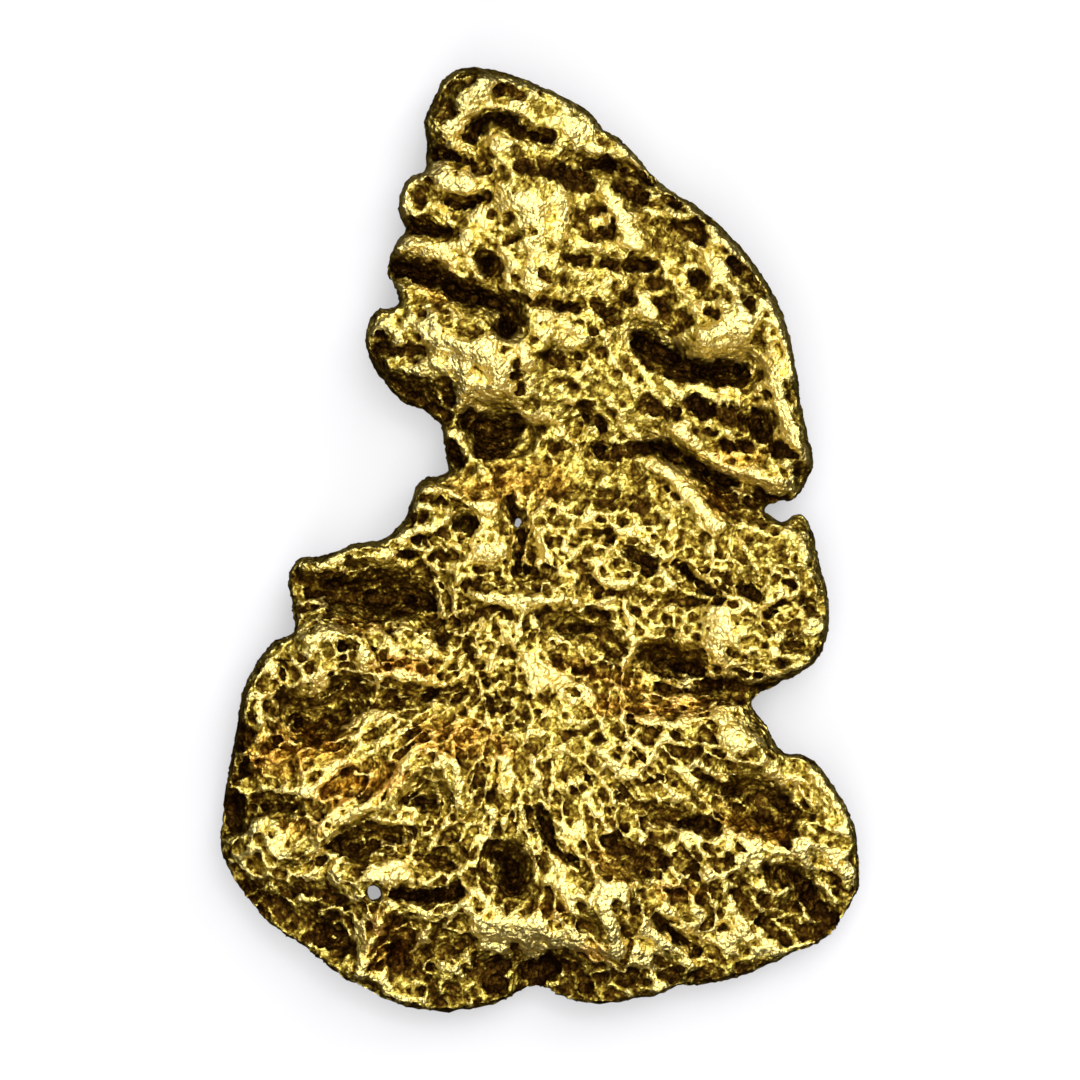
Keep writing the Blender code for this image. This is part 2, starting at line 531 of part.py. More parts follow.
def native_gold():
    """Rich yellow metal, half polished by wear."""
    material = bpy.data.materials.new("native_gold")
    material.use_nodes = True
    shader = material.node_tree.nodes["Principled BSDF"]
    shader.inputs["Base Color"].default_value = GOLD_COLOUR
    shader.inputs["Metallic"].default_value = 1.0
    shader.inputs["Roughness"].default_value = GOLD_ROUGHNESS
    return material


def make_nugget():
    """Build the nugget's closed solid and link it into the scene."""
    outline = smooth_loop(OUTLINE, EDGE_SPACING)
    openings = [np.array(ROUND_OPENING), np.array(SLIT_OPENING)]
    mesh = bmesh.new()
    upper_forms = RIDGES + HOLLOWS
    upper = make_side(mesh, outline, openings, upper_height, UPPER_FLATNESS, upper_forms, True)
    lower = make_side(mesh, outline, openings, lower_height, LOWER_FLATNESS, REST_PADS, False)
    join_sides(mesh, upper, lower, outline, openings)
    remove_loose_points(mesh)
    bmesh.ops.recalc_face_normals(mesh, faces=mesh.faces)
    centre_on_origin(mesh)
    data = bpy.data.meshes.new("nugget")
    mesh.to_mesh(data)
    mesh.free()
    data.materials.append(native_gold())
    nugget = bpy.data.objects.new("nugget", data)
    bpy.context.scene.collection.objects.link(nugget)
    sides = [round(side / MM, 2) for side in nugget.dimensions]
    print("nugget:", len(data.polygons), "triangles,", sides, "mm")


clear_scene()
make_nugget()
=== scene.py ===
# %% [markdown]
# A gold nugget is one lump of native metal. A river has rolled and hammered it flat, so its high
# places are rounded and bright, and its hollows are rough and hold dark soil and iron stain.
# The imported CAD solid has its true outline and its main ledges and valleys in about 8,000 facets.
# This lesson turns a copy of that solid into a dense surface, works the fine relief into it, and
# gives it the finish of worn native gold, whose colour also carries painted shade in the hollows, on
# the slopes and near the edge, and painted highlight on the high places.

# %% Load the frame
import math

import bpy
import mathutils
import numpy as np
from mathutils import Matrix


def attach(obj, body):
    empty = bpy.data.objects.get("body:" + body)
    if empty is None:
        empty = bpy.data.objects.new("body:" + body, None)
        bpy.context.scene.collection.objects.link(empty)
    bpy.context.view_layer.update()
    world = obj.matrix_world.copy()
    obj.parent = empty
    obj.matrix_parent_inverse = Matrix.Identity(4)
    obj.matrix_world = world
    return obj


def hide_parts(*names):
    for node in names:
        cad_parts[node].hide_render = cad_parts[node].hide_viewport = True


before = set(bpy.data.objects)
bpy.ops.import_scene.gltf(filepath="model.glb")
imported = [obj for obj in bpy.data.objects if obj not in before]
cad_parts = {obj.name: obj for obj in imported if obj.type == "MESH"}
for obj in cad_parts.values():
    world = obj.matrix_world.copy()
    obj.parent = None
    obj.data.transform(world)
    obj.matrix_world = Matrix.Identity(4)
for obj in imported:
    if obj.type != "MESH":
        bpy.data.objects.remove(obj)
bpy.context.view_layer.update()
scene = bpy.context.scene

# %% [markdown]
# Blender's remesher and its procedural textures like sizes near 1, and this object's grain is a
# tenth of a millimetre. So the work is done at one Blender unit to the millimetre, and the
# finished mesh is brought back to metres at the end.

# %% Working at one unit to the millimetre
MM = 0.001


def only(piece):
    """Select one object and make it active, with everything else deselected."""
    bpy.ops.object.select_all(action="DESELECT")
    piece.select_set(True)
    bpy.context.view_layer.objects.active = piece


def scaled(piece, factor):
    """Scale a mesh about the origin and apply the scale."""
    only(piece)
    piece.scale = (factor, factor, factor)
    bpy.ops.object.transform_apply(location=False, rotation=False, scale=True)


def add_modifier(piece, kind, **settings):
    """Add a modifier with its settings and apply it."""
    only(piece)
    modifier = piece.modifiers.new(kind.lower(), kind)
    for name, value in settings.items():
        setattr(modifier, name, value)
    bpy.ops.object.modifier_apply(modifier=modifier.name)


# %% [markdown]
# The CAD node's own mesh must stay as it is, so the lesson works on a copy. Its triangles are
# loose, and a remesher needs a closed skin, so points that share a place are merged first.

# %% Copy the solid and merge its triangles
WELD = 1e-6
nugget = bpy.data.objects.new("gold_nugget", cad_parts["nugget"].data.copy())
scene.collection.objects.link(nugget)
only(nugget)
bpy.ops.object.mode_set(mode="EDIT")
bpy.ops.mesh.select_all(action="SELECT")
bpy.ops.mesh.remove_doubles(threshold=WELD)
bpy.ops.object.mode_set(mode="OBJECT")
scaled(nugget, 1 / MM)
print("merged copy:", len(nugget.data.vertices), "points")

# %% [markdown]
# A voxel remesh lays even squares over the facets. Even squares matter, because every later
# step moves points, and long thin triangles would crease. A light smooth then rounds the
# facets' edges, as years of rolling in gravel would.

# %% An even, dense surface
VOXEL = 0.066
ROUNDING_PASSES = 5
add_modifier(nugget, "REMESH", mode="VOXEL", voxel_size=VOXEL, adaptivity=0.0)
add_modifier(nugget, "SMOOTH", factor=0.5, iterations=ROUNDING_PASSES)
print("even surface:", len(nugget.data.vertices), "points")

# %% [markdown]
# Some steps need every point's place or normal at once, and numpy arrays are quick for that.

# %% Reading and writing the points


def read_points(piece):
    """Give the mesh's points as an array of rows x, y, z."""
    points = np.empty(len(piece.data.vertices) * 3)
    piece.data.vertices.foreach_get("co", points)
    return points.reshape(-1, 3)


def read_normals(piece):
    """Give the points' normals as an array of rows x, y, z."""
    normals = np.empty(len(piece.data.vertices) * 3)
    piece.data.vertices.foreach_get("normal", normals)
    return normals.reshape(-1, 3)


def write_points(piece, points):
    """Move the mesh's points to the rows of an array."""
    piece.data.vertices.foreach_set("co", points.ravel())
    piece.data.update()


def neighbour_mean(piece, values, passes):
    """Average a value over each point's neighbours, again and again, which blurs it."""
    edges = np.empty(len(piece.data.edges) * 2, dtype=np.int64)
    piece.data.edges.foreach_get("vertices", edges)
    a, b = edges.reshape(-1, 2).T
    count = len(values)
    degree = np.bincount(a, minlength=count) + np.bincount(b, minlength=count)
    for _ in range(passes):
        total = np.bincount(a, weights=values[b], minlength=count)
        total += np.bincount(b, weights=values[a], minlength=count)
        values = 0.5 * values + 0.5 * total / degree
    return values


# %% [markdown]
# The relief belongs to the side that looks up. The underside has lain on gravel, is plainer, and
# must stay flat enough to rest on. So each point gets a share from 0 below to 1 above, by how
# far its normal points up, and a change multiplied by that share fades out over the edge. The
# first such change fills the shoulders, because a rolled slab has a blunt edge, not a sharp
# one: it raises points by a hump that is full on half-tilted surface and nothing on level or
# upright surface.

# %% The upper side and its shoulders
UPPER_GAIN = 1.5
UPPER_START = 0.2
SHOULDER = 0.12
points = read_points(nugget)
up = read_normals(nugget)[:, 2]
upper = np.clip(up * UPPER_GAIN + UPPER_START, 0, 1)
level = np.clip(up, 0, 1)
hump = 4 * level * (1 - level)
points[:, 2] += SHOULDER * hump
print("share of points on the upper side:", round(float((upper > 0.5).mean()), 2))

# %% [markdown]
# The nugget's character is in its own ridges, bosses and pits, each in its own place, and no noise
# can put them there. A sculptor would draw each with one brush stroke. Here a stroke is a row: its
# reach to each side, its strength, and the points of its path. Positive strengths pile metal up,
# negative ones dig. The rows were drawn on a grid of 40 squares to the millimetre, so they are whole
# numbers: x runs right and y down, and square (540, 540) is over the origin. They go from the tip
# down to the foot, region by region.

# %% The strokes
GRID_PER_MM = 40
GRID_ORIGIN = 540
TIP = [
    (8, 1, (455, 72), (445, 82), (438, 92), (440, 97)),
    (13, 1.2, (488, 88), (470, 100), (458, 120), (450, 135), (458, 150), (472, 160)),
    (7, 0.8, (480, 77), (500, 80), (530, 85), (550, 92)),
    (8, 1.2, (478, 115), (490, 110), (512, 113)),
    (14, 1, (495, 146), (507, 144)),
    (10, 0.9, (515, 108), (530, 125)),
    (8, 0.9, (535, 95)),
    (16, 0.7, (560, 118), (585, 135), (590, 152)),
    (7, 0.8, (540, 86), (575, 105), (600, 130), (640, 165), (665, 186)),
    (6, 0.9, (505, 163)),
    (8, -1.2, (475, 75), (462, 80), (452, 92), (440, 104), (436, 112)),
    (10, -1.3, (432, 100), (456, 112), (440, 118)),
    (7, -1.1, (492, 92), (505, 90), (522, 96)),
    (9, -1.6, (470, 138), (478, 126), (490, 117), (508, 117), (515, 130), (548, 137)),
    (9, -0.5, (540, 112), (556, 112)),
    (7, -1, (430, 140), (438, 136)),
    (9, -1.5, (430, 152), (455, 156), (475, 163), (486, 158)),
    (11, -1.1, (545, 165), (562, 175), (590, 185)),
    (8, -1, (568, 158), (590, 162), (610, 168)),
    (8, -1.5, (608, 164), (630, 170), (650, 180)),
    (9, -0.5, (520, 168), (550, 170), (580, 178)),
    (5, -1, (600, 134), (606, 141), (612, 145)),
    (10, -0.6, (620, 186), (640, 195), (650, 205)),
    (5, 0.8, (650, 196), (665, 200)),
    (5, 0.8, (650, 208), (665, 214), (690, 218)),
    (5, -1.2, (670, 203), (685, 206), (690, 213)),
    (6, 1.3, (652, 172), (664, 188), (682, 200), (697, 214), (715, 228)),
    (7, -0.9, (470, 162), (485, 170)),
]
CROWN_LEFT_LOBES = [
    (14, 1.3, (443, 170), (446, 188)),
    (12, 1.3, (468, 176), (467, 194)),
    (9, 1.2, (428, 173), (412, 180), (404, 192), (406, 212), (413, 216)),
    (9, 1.1, (510, 170), (514, 180), (505, 188)),
    (5, 0.9, (495, 163), (512, 163)),
    (8, 1, (480, 212), (482, 226)),
    (5, 0.9, (490, 210), (500, 215)),
    (9, 1, (468, 234), (465, 245)),
    (7, 0.9, (443, 209), (450, 217)),
    (4, 0.9, (420, 208), (426, 205)),
    (9, 1.2, (398, 243), (412, 244), (415, 252)),
    (6, 0.9, (425, 240), (432, 246)),
    (9, 1.3, (425, 253), (445, 255), (450, 262)),
    (7, 1.3, (470, 258), (475, 270), (480, 280)),
    (4, 0.9, (451, 282), (459, 284)),
    (6, -1.4, (428, 184), (422, 195), (420, 206)),
    (7, -1.6, (436, 197), (450, 198), (458, 203), (470, 203), (488, 199)),
    (6, -1.1, (455, 218), (465, 222), (460, 230)),
    (10, -1.7, (408, 225), (430, 228), (452, 236)),
    (5, -1.2, (512, 193), (503, 195)),
    (6, -1.2, (512, 217), (507, 223)),
    (11, -1.8, (395, 266), (412, 270), (430, 275), (447, 281)),
    (7, -0.8, (435, 265), (444, 274)),
    (13, -2, (455, 290), (475, 293), (495, 298), (510, 303), (514, 315), (507, 328)),
    (10, -0.4, (400, 292), (430, 300), (450, 312)),
    (9, -0.5, (465, 325), (472, 338)),
    (11, -1.2, (490, 262), (495, 280)),
    (10, -1.5, (485, 260), (492, 262), (497, 272)),
    (5, -0.8, (478, 245), (483, 251)),
    (6, 0.9, (400, 284), (409, 298)),
    (6, 0.6, (420, 290), (440, 300), (452, 308)),
    (8, 1, (428, 308), (434, 315)),
    (8, 0.9, (455, 315)),
    (6, 0.9, (378, 312), (392, 309)),
    (7, 1, (411, 316), (405, 326)),
    (8, 1.2, (365, 333), (373, 328), (386, 328), (398, 334), (400, 343)),
    (9, 1.1, (420, 327), (430, 321), (436, 331)),
    (7, 1, (423, 336), (427, 342)),
    (5, 0.9, (447, 329), (450, 337)),
    (4, 0.9, (472, 322), (480, 327)),
    (8, -1.5, (380, 338), (386, 345), (377, 349)),
    (6, -1.1, (415, 340), (412, 349)),
    (5, -1, (436, 332), (441, 331)),
    (8, -0.7, (455, 330), (465, 336), (476, 330)),
    (11, 1.2, (436, 346), (458, 344), (474, 353), (486, 362)),
    (17, 1.2, (485, 345), (492, 362), (500, 372)),
    (14, 1.1, (490, 344), (495, 360), (506, 370)),
    (11, 1.4, (463, 362), (466, 378), (466, 395), (462, 402)),
    (10, 1.3, (482, 392), (498, 392), (510, 388)),
    (3, -1.4, (476, 368), (484, 378), (500, 381), (514, 378)),
    (9, 1.2, (525, 345), (528, 365), (530, 380)),
    (6, 1, (445, 371), (447, 381)),
    (9, 1.4, (420, 370), (430, 365), (436, 368)),
    (4, 0.9, (404, 358), (411, 368)),
    (7, -1.6, (375, 350), (400, 353), (425, 350), (442, 359)),
    (5, -1.3, (455, 365), (456, 378), (461, 386)),
    (14, -0.8, (395, 385), (425, 392)),
    (4, -1.1, (480, 380), (496, 385)),
    (7, -1.4, (505, 372), (515, 366), (515, 380), (519, 392)),
    (4, 1, (460, 410), (470, 414), (481, 408)),
    (15, -2, (472, 421), (490, 428), (510, 424), (502, 440), (488, 446)),
    (9, -1.7, (450, 447), (455, 455), (460, 462)),
    (6, 1.5, (450, 432), (460, 435), (463, 445), (475, 458), (485, 472), (490, 481)),
    (3, 0.9, (475, 445), (485, 455), (491, 461)),
    (13, -1.4, (372, 362), (385, 380), (400, 395), (425, 405), (440, 415)),
    (10, -1.2, (445, 385), (452, 400)),
    (14, 1.2, (490, 345), (495, 365), (500, 375)),
    (9, 1.1, (470, 385), (500, 390)),
    (7, 1.2, (540, 415), (550, 420)),
    (6, 1.2, (545, 440)),
    (26, 0.5, (440, 352), (480, 366), (500, 370)),
    (16, 0.5, (462, 384), (500, 392)),
]
CROWN_MIDDLE = [
    (20, 0.6, (505, 200), (515, 210), (530, 205), (535, 220), (525, 240)),
    (10, 1, (500, 254), (508, 265), (505, 279)),
    (10, 1.4, (530, 268), (532, 285), (535, 296)),
    (5, -2, (504, 244), (520, 238), (531, 232), (536, 236)),
    (7, -1.1, (516, 280), (522, 292)),
    (10, 1.3, (593, 183), (611, 201), (626, 231), (627, 246)),
    (8, 1, (600, 249), (588, 246)),
    (12, 0.9, (560, 195), (565, 215), (560, 235)),
    (7, -1.4, (602, 209), (584, 215), (580, 226), (592, 237), (610, 236), (616, 222)),
    (8, 0.9, (594, 219), (608, 226)),
    (7, -1.2, (565, 257), (585, 263)),
    (8, -1.3, (545, 274), (566, 281)),
    (6, -1.4, (606, 263), (628, 267), (650, 264)),
    (7, -1.4, (619, 290), (634, 304)),
    (8, -1.5, (595, 305), (615, 319)),
    (7, -1.6, (522, 299), (548, 304), (576, 310)),
    (10, 1.3, (640, 300), (650, 312)),
    (8, 1, (495, 345), (512, 340)),
    (6, 0.9, (530, 310), (520, 316)),
    (6, 0.9, (536, 324), (538, 336)),
    (10, 0.9, (545, 312), (560, 322), (575, 335)),
    (8, 0.9, (545, 332), (565, 345)),
    (7, -1.4, (548, 356), (574, 366)),
    (6, -1.2, (592, 344), (601, 354)),
    (5, -1.1, (560, 379), (575, 384)),
    (5, -1.1, (530, 400), (546, 403)),
    (8, -1.3, (582, 406), (592, 414), (600, 424)),
    (8, -1.1, (598, 448), (604, 455)),
    (8, 1, (545, 415), (534, 420), (520, 410)),
    (6, 0.9, (530, 395), (541, 398)),
    (6, 0.9, (600, 330), (615, 360), (632, 390)),
    (5, 0.8, (585, 325), (595, 345)),
    (6, 0.8, (625, 330), (640, 365), (655, 395)),
    (6, 0.8, (560, 390), (575, 405)),
    (7, 0.9, (612, 400), (625, 425)),
    (7, 0.8, (560, 425), (575, 445)),
    (7, 0.8, (615, 440), (635, 455)),
    (6, 0.8, (540, 440), (555, 458)),
]
CROWN_RIGHT_SIDE = [
    (7, 1.4, (668, 190), (690, 208), (704, 224), (720, 240), (738, 256), (752, 272), (766, 290),
     (776, 310), (782, 332), (790, 352), (796, 374)),
    (8, 1, (690, 206), (699, 216)),
    (6, 0.9, (647, 208), (655, 216)),
    (7, 0.9, (651, 200)),
    (6, 0.9, (668, 204), (668, 215), (687, 217)),
    (7, 1, (690, 240), (705, 262), (712, 280), (709, 292)),
    (7, 1.1, (705, 250), (720, 270), (736, 293)),
    (7, 1, (718, 262), (728, 270)),
    (5, 1, (655, 255), (668, 280), (690, 295), (705, 310)),
    (8, 1, (687, 270)),
    (8, 0.9, (672, 265)),
    (5, 0.9, (712, 254), (714, 244)),
    (7, 1, (725, 235), (732, 252), (725, 261)),
    (9, 1.2, (702, 303), (695, 315)),
    (9, 1.2, (721, 304), (725, 318)),
    (8, 1, (738, 303), (742, 318)),
    (9, 1.3, (756, 311), (751, 325)),
    (15, 1.3, (724, 325), (740, 345), (734, 355)),
    (11, 1.1, (700, 341), (715, 334)),
    (12, 1.4, (695, 352), (710, 356), (722, 350)),
    (7, 1.1, (678, 334), (680, 344)),
    (9, 0.9, (768, 300), (780, 330), (790, 362)),
    (9, 0.9, (764, 342), (774, 368)),
    (7, 1, (750, 346), (758, 356)),
    (6, 1, (752, 370)),
    (7, 1.2, (655, 365), (668, 382), (682, 398)),
    (7, -1.4, (668, 200), (686, 209)),
    (9, -1.7, (688, 222), (706, 222)),
    (11, -0.9, (678, 232), (700, 236)),
    (5, -1.2, (722, 245), (726, 252)),
    (8, -1.9, (732, 261), (745, 275), (757, 288), (766, 294)),
    (9, -1.5, (695, 275), (703, 285), (708, 296)),
    (8, -0.9, (650, 285), (668, 288)),
    (11, -1.3, (668, 300), (665, 315), (680, 322)),
    (7, -1.2, (707, 311), (719, 316)),
    (6, -1.2, (748, 303), (752, 312)),
    (8, -1.4, (757, 339), (760, 349)),
    (5, -1.2, (766, 351), (768, 363)),
    (4, -0.9, (779, 346), (788, 361)),
    (8, -0.9, (745, 355), (758, 378)),
    (14, -2.2, (642, 345), (662, 360), (690, 372), (738, 374)),
    (8, -1, (650, 362), (680, 382)),
    (9, 0.9, (745, 362), (762, 366)),
    (6, -1, (725, 296), (742, 298)),
    (8, 1.6, (770, 375), (776, 400), (784, 425), (795, 445), (805, 455)),
    (5, 0.9, (780, 380), (785, 400), (790, 420), (800, 436)),
    (9, 1.2, (698, 384), (705, 397), (715, 400)),
    (8, 1.2, (722, 380), (722, 393)),
    (6, 1.1, (755, 392), (762, 385)),
    (8, 1.5, (760, 405), (769, 405)),
    (6, 1.1, (720, 408), (726, 406)),
    (4, 0.9, (738, 405), (742, 412)),
    (5, 1, (672, 412), (670, 426)),
    (9, 1.6, (676, 433), (690, 441), (705, 455), (718, 468), (735, 473), (752, 476), (765, 486),
     (782, 485)),
    (11, 0.9, (683, 430), (688, 440)),
    (11, 0.9, (750, 470), (756, 476)),
    (11, 0.9, (772, 486), (786, 487)),
    (4, 1, (705, 421), (713, 431)),
    (5, 1.1, (721, 429), (716, 441)),
    (6, 1, (729, 430), (733, 440)),
    (5, 1.1, (762, 425), (771, 430)),
    (7, 1.1, (775, 438), (786, 442)),
    (6, 1.1, (762, 446)),
    (5, 1.1, (770, 458), (778, 472), (783, 479)),
    (6, 1, (783, 465), (794, 475)),
    (6, 0.7, (720, 458), (740, 452), (756, 455)),
    (9, 1.6, (655, 462), (665, 471), (680, 486), (692, 500), (705, 515), (713, 526)),
    (14, 1.2, (662, 468), (680, 480), (693, 496)),
    (8, 1.3, (737, 490), (750, 492), (742, 498)),
    (5, 0.8, (650, 490), (656, 496)),
    (4, 0.8, (650, 510), (661, 507), (672, 504), (681, 502)),
    (8, -1.5, (790, 387), (794, 396)),
    (5, -1.3, (765, 396), (771, 398), (758, 400)),
    (7, -1.5, (688, 403), (700, 406), (713, 408)),
    (9, -1.2, (645, 407), (656, 410)),
    (6, -1.4, (674, 411), (674, 417)),
    (9, -1.3, (725, 412), (740, 420), (755, 430), (766, 436)),
    (5, -1.1, (709, 431), (713, 436)),
    (7, -1.3, (728, 446), (748, 446)),
    (9, -1.8, (775, 448), (791, 452)),
    (6, -1.4, (757, 412), (770, 416)),
    (8, -1.6, (620, 448), (650, 449), (680, 456), (693, 463)),
    (7, 0.8, (655, 438), (675, 443)),
    (8, -1.7, (700, 473), (720, 477), (737, 481)),
    (8, -1.2, (714, 486), (722, 490)),
    (7, -1.5, (750, 483), (757, 493)),
    (7, -1.8, (732, 503), (750, 503), (768, 503), (788, 500)),
    (9, -1.5, (800, 470), (808, 476)),
    (3, -1.1, (665, 487), (685, 502), (701, 516)),
    (5, 1.3, (700, 250), (715, 275), (735, 300)),
    (6, 1.3, (760, 300), (775, 320), (785, 350), (790, 380)),
    (5, 1.1, (765, 320), (770, 350), (775, 375)),
    (3, -1.2, (772, 318), (780, 345), (784, 370)),
    (7, 1.2, (770, 385), (785, 415), (800, 450), (808, 462)),
    (6, -1, (785, 385), (795, 410), (803, 440)),
    (10, -1, (660, 305), (668, 320), (675, 330)),
    (8, -1.2, (600, 312), (612, 318)),
    (9, -1.3, (650, 400), (660, 412)),
    (6, -1.3, (675, 412)),
    (12, -1.1, (700, 405), (720, 412), (745, 418), (765, 425)),
    (7, 1.4, (762, 403)),
    (4, 1, (725, 430), (735, 440)),
    (4, 0.9, (745, 425)),
    (9, -1.5, (588, 410), (590, 420)),
    (8, -1.2, (615, 455), (640, 450), (665, 445), (690, 455)),
    (6, 1.3, (683, 425), (695, 445), (715, 465), (735, 475)),
    (8, 1.2, (738, 475), (750, 480)),
    (9, 1.3, (765, 485), (778, 490)),
    (9, -1.3, (705, 470), (720, 485), (730, 495)),
    (7, -1.1, (545, 445), (560, 450)),
]
MIDDLE_RIGHT = [
    (7, 1, (672, 527), (680, 526)),
    (6, 0.9, (668, 543), (675, 541)),
    (5, 0.9, (690, 533), (684, 550)),
    (6, 1, (705, 528), (714, 535)),
    (7, 0.9, (743, 518), (752, 529)),
    (6, 0.9, (763, 533), (772, 535)),
    (12, 1.1, (787, 534), (800, 540), (805, 556)),
    (7, 1.1, (789, 551)),
    (4, 1.1, (812, 538), (818, 556)),
    (7, 1, (703, 548), (712, 552)),
    (6, 0.8, (730, 538), (746, 549)),
    (8, 1.1, (620, 530), (640, 534), (652, 546), (656, 552)),
    (7, 1.5, (665, 558), (660, 570), (668, 580), (676, 586)),
    (4, 1, (680, 590), (693, 597)),
    (4, 1.9, (690, 560), (700, 575), (712, 585), (722, 595), (729, 601)),
    (5, 1.3, (734, 589), (741, 599)),
    (7, 1.3, (741, 599), (755, 608), (765, 605), (780, 598), (796, 595)),
    (4, 1.4, (764, 581), (774, 571), (785, 575), (797, 578), (798, 588), (790, 598)),
    (9, 1.3, (672, 611)),
    (7, 1.1, (666, 625)),
    (17, 0.8, (709, 609), (720, 618), (716, 635), (711, 650), (722, 662)),
    (8, 0.9, (740, 612), (745, 626)),
    (5, 1, (735, 646), (745, 650), (760, 655), (772, 650), (782, 655)),
    (7, 0.9, (770, 645), (775, 656)),
    (7, 1.5, (722, 671), (740, 678), (760, 679), (780, 675), (796, 668)),
    (6, 1.1, (704, 665), (711, 673)),
    (4, 1.2, (789, 655), (796, 660), (804, 666)),
    (5, 0.9, (784, 615), (801, 610)),
    (8, 1.1, (804, 632), (813, 624)),
    (7, 0.9, (812, 598)),
    (4, 1, (676, 635), (690, 641)),
    (4, 1, (681, 624), (686, 638)),
    (7, -1.9, (625, 551), (640, 556), (651, 563), (648, 573)),
    (5, -2, (675, 561), (685, 571), (694, 579), (709, 591)),
    (6, -1.2, (722, 575), (735, 582), (745, 590), (757, 596)),
    (4, -1.2, (639, 544)),
    (6, -1.1, (650, 598), (680, 602), (722, 601)),
    (4, -1.2, (735, 603), (741, 606)),
    (4, -1.1, (745, 615), (751, 611)),
    (4, -2, (766, 616), (772, 607), (783, 602), (801, 602)),
    (4, -1.3, (763, 622), (775, 625), (790, 625), (802, 621)),
    (4, -1.6, (779, 577), (786, 580), (796, 586)),
    (7, -1.6, (785, 650), (792, 645), (812, 645), (819, 650)),
    (5, -1.5, (779, 662), (792, 663)),
    (3, -1.2, (744, 645), (756, 640)),
    (3, -1.2, (734, 655), (746, 658)),
    (3, -1.3, (732, 671), (733, 674)),
    (3, -1.3, (717, 613)),
    (5, -1.7, (640, 656), (660, 651), (680, 655), (702, 655)),
    (8, -1.6, (655, 668), (670, 665), (688, 665), (702, 671)),
    (8, -2, (702, 686), (720, 683), (740, 687), (760, 686), (782, 682), (802, 675)),
    (9, -1.4, (742, 697)),
    (4, -1.5, (655, 688), (675, 690), (692, 692), (706, 701)),
    (5, 1.2, (668, 680), (672, 676)),
    (3, 1.2, (684, 673), (700, 686), (709, 693)),
    (12, -0.4, (560, 490), (600, 495), (640, 505)),
    (10, -0.5, (715, 500), (740, 515), (760, 520)),
    (4, 1.4, (660, 548), (690, 572), (720, 592), (745, 608), (760, 614)),
    (7, -1, (600, 592), (640, 596), (690, 597)),
    (14, -1.4, (650, 650), (675, 655), (695, 665)),
    (10, -1, (650, 665), (680, 675)),
    (4, 1.6, (664, 680), (682, 676)),
    (3, 1.3, (690, 685), (705, 694)),
    (4, -1.3, (765, 612), (780, 602), (800, 600), (812, 602)),
    (4, -1, (756, 627), (775, 630), (795, 626)),
    (7, -1.1, (785, 662)),
    (12, 1, (715, 610), (722, 630), (735, 640)),
    (8, -1.4, (705, 690), (735, 697)),
]
MIDDLE_SHELF = [
    (6, 0.6, (297, 571), (318, 573)),
    (5, 1.7, (322, 566), (332, 560), (340, 555), (350, 548), (362, 545), (372, 541), (384, 542),
     (401, 538)),
    (4, 1.3, (319, 569), (324, 576), (332, 577), (335, 569)),
    (4, 1.3, (345, 557), (343, 566), (348, 573), (350, 578), (358, 574)),
    (4, 1, (370, 555), (380, 558), (386, 551)),
    (6, 1.6, (402, 537), (410, 532), (425, 530), (436, 524)),
    (5, 1.4, (408, 541), (420, 545), (430, 552)),
    (5, 1.2, (435, 548), (445, 543), (456, 547)),
    (4, 1.4, (393, 553), (400, 562), (412, 566), (412, 574), (420, 582), (420, 590), (429, 597)),
    (5, 1, (297, 561), (305, 567), (312, 569)),
    (4, 0.8, (292, 572), (290, 560)),
    (4, 1.3, (300, 602), (318, 602), (325, 607), (339, 610)),
    (4, 1, (312, 615), (322, 620), (331, 620)),
    (4, 1, (357, 604), (354, 612), (366, 618)),
    (3, 0.9, (372, 590), (386, 592)),
    (4, 1.1, (395, 600), (404, 602), (406, 597)),
    (5, 0.8, (345, 612)),
    (4, 1.4, (438, 588), (438, 605), (444, 619), (452, 609), (451, 590)),
    (3, 1.1, (458, 560), (456, 580)),
    (4, 1.2, (452, 601), (460, 612), (464, 614)),
    (5, 1, (435, 583)),
    (6, -1.8, (350, 563), (362, 563)),
    (4, -1.3, (340, 564), (341, 572)),
    (3, -1.1, (325, 570)),
    (6, -1.7, (399, 553), (413, 555)),
    (4, -1.7, (414, 540), (426, 536), (441, 535)),
    (5, -1.6, (436, 555), (456, 556)),
    (7, -1.6, (421, 566), (430, 576)),
    (11, -1.9, (298, 576), (320, 581), (345, 583), (375, 578), (401, 581)),
    (7, -1.2, (308, 592), (336, 591)),
    (11, -1.7, (370, 600), (382, 600), (396, 608), (411, 605)),
    (6, -1.3, (299, 609), (312, 607)),
    (4, -1.4, (328, 617), (350, 622), (382, 622)),
    (3, -1.1, (434, 596), (434, 606)),
    (14, -1.5, (330, 585), (370, 590), (410, 590)),
    (13, -1.4, (335, 605), (370, 610), (410, 605), (430, 600)),
    (8, -1.3, (415, 570), (425, 600)),
    (8, -1.2, (460, 508), (470, 530)),
]
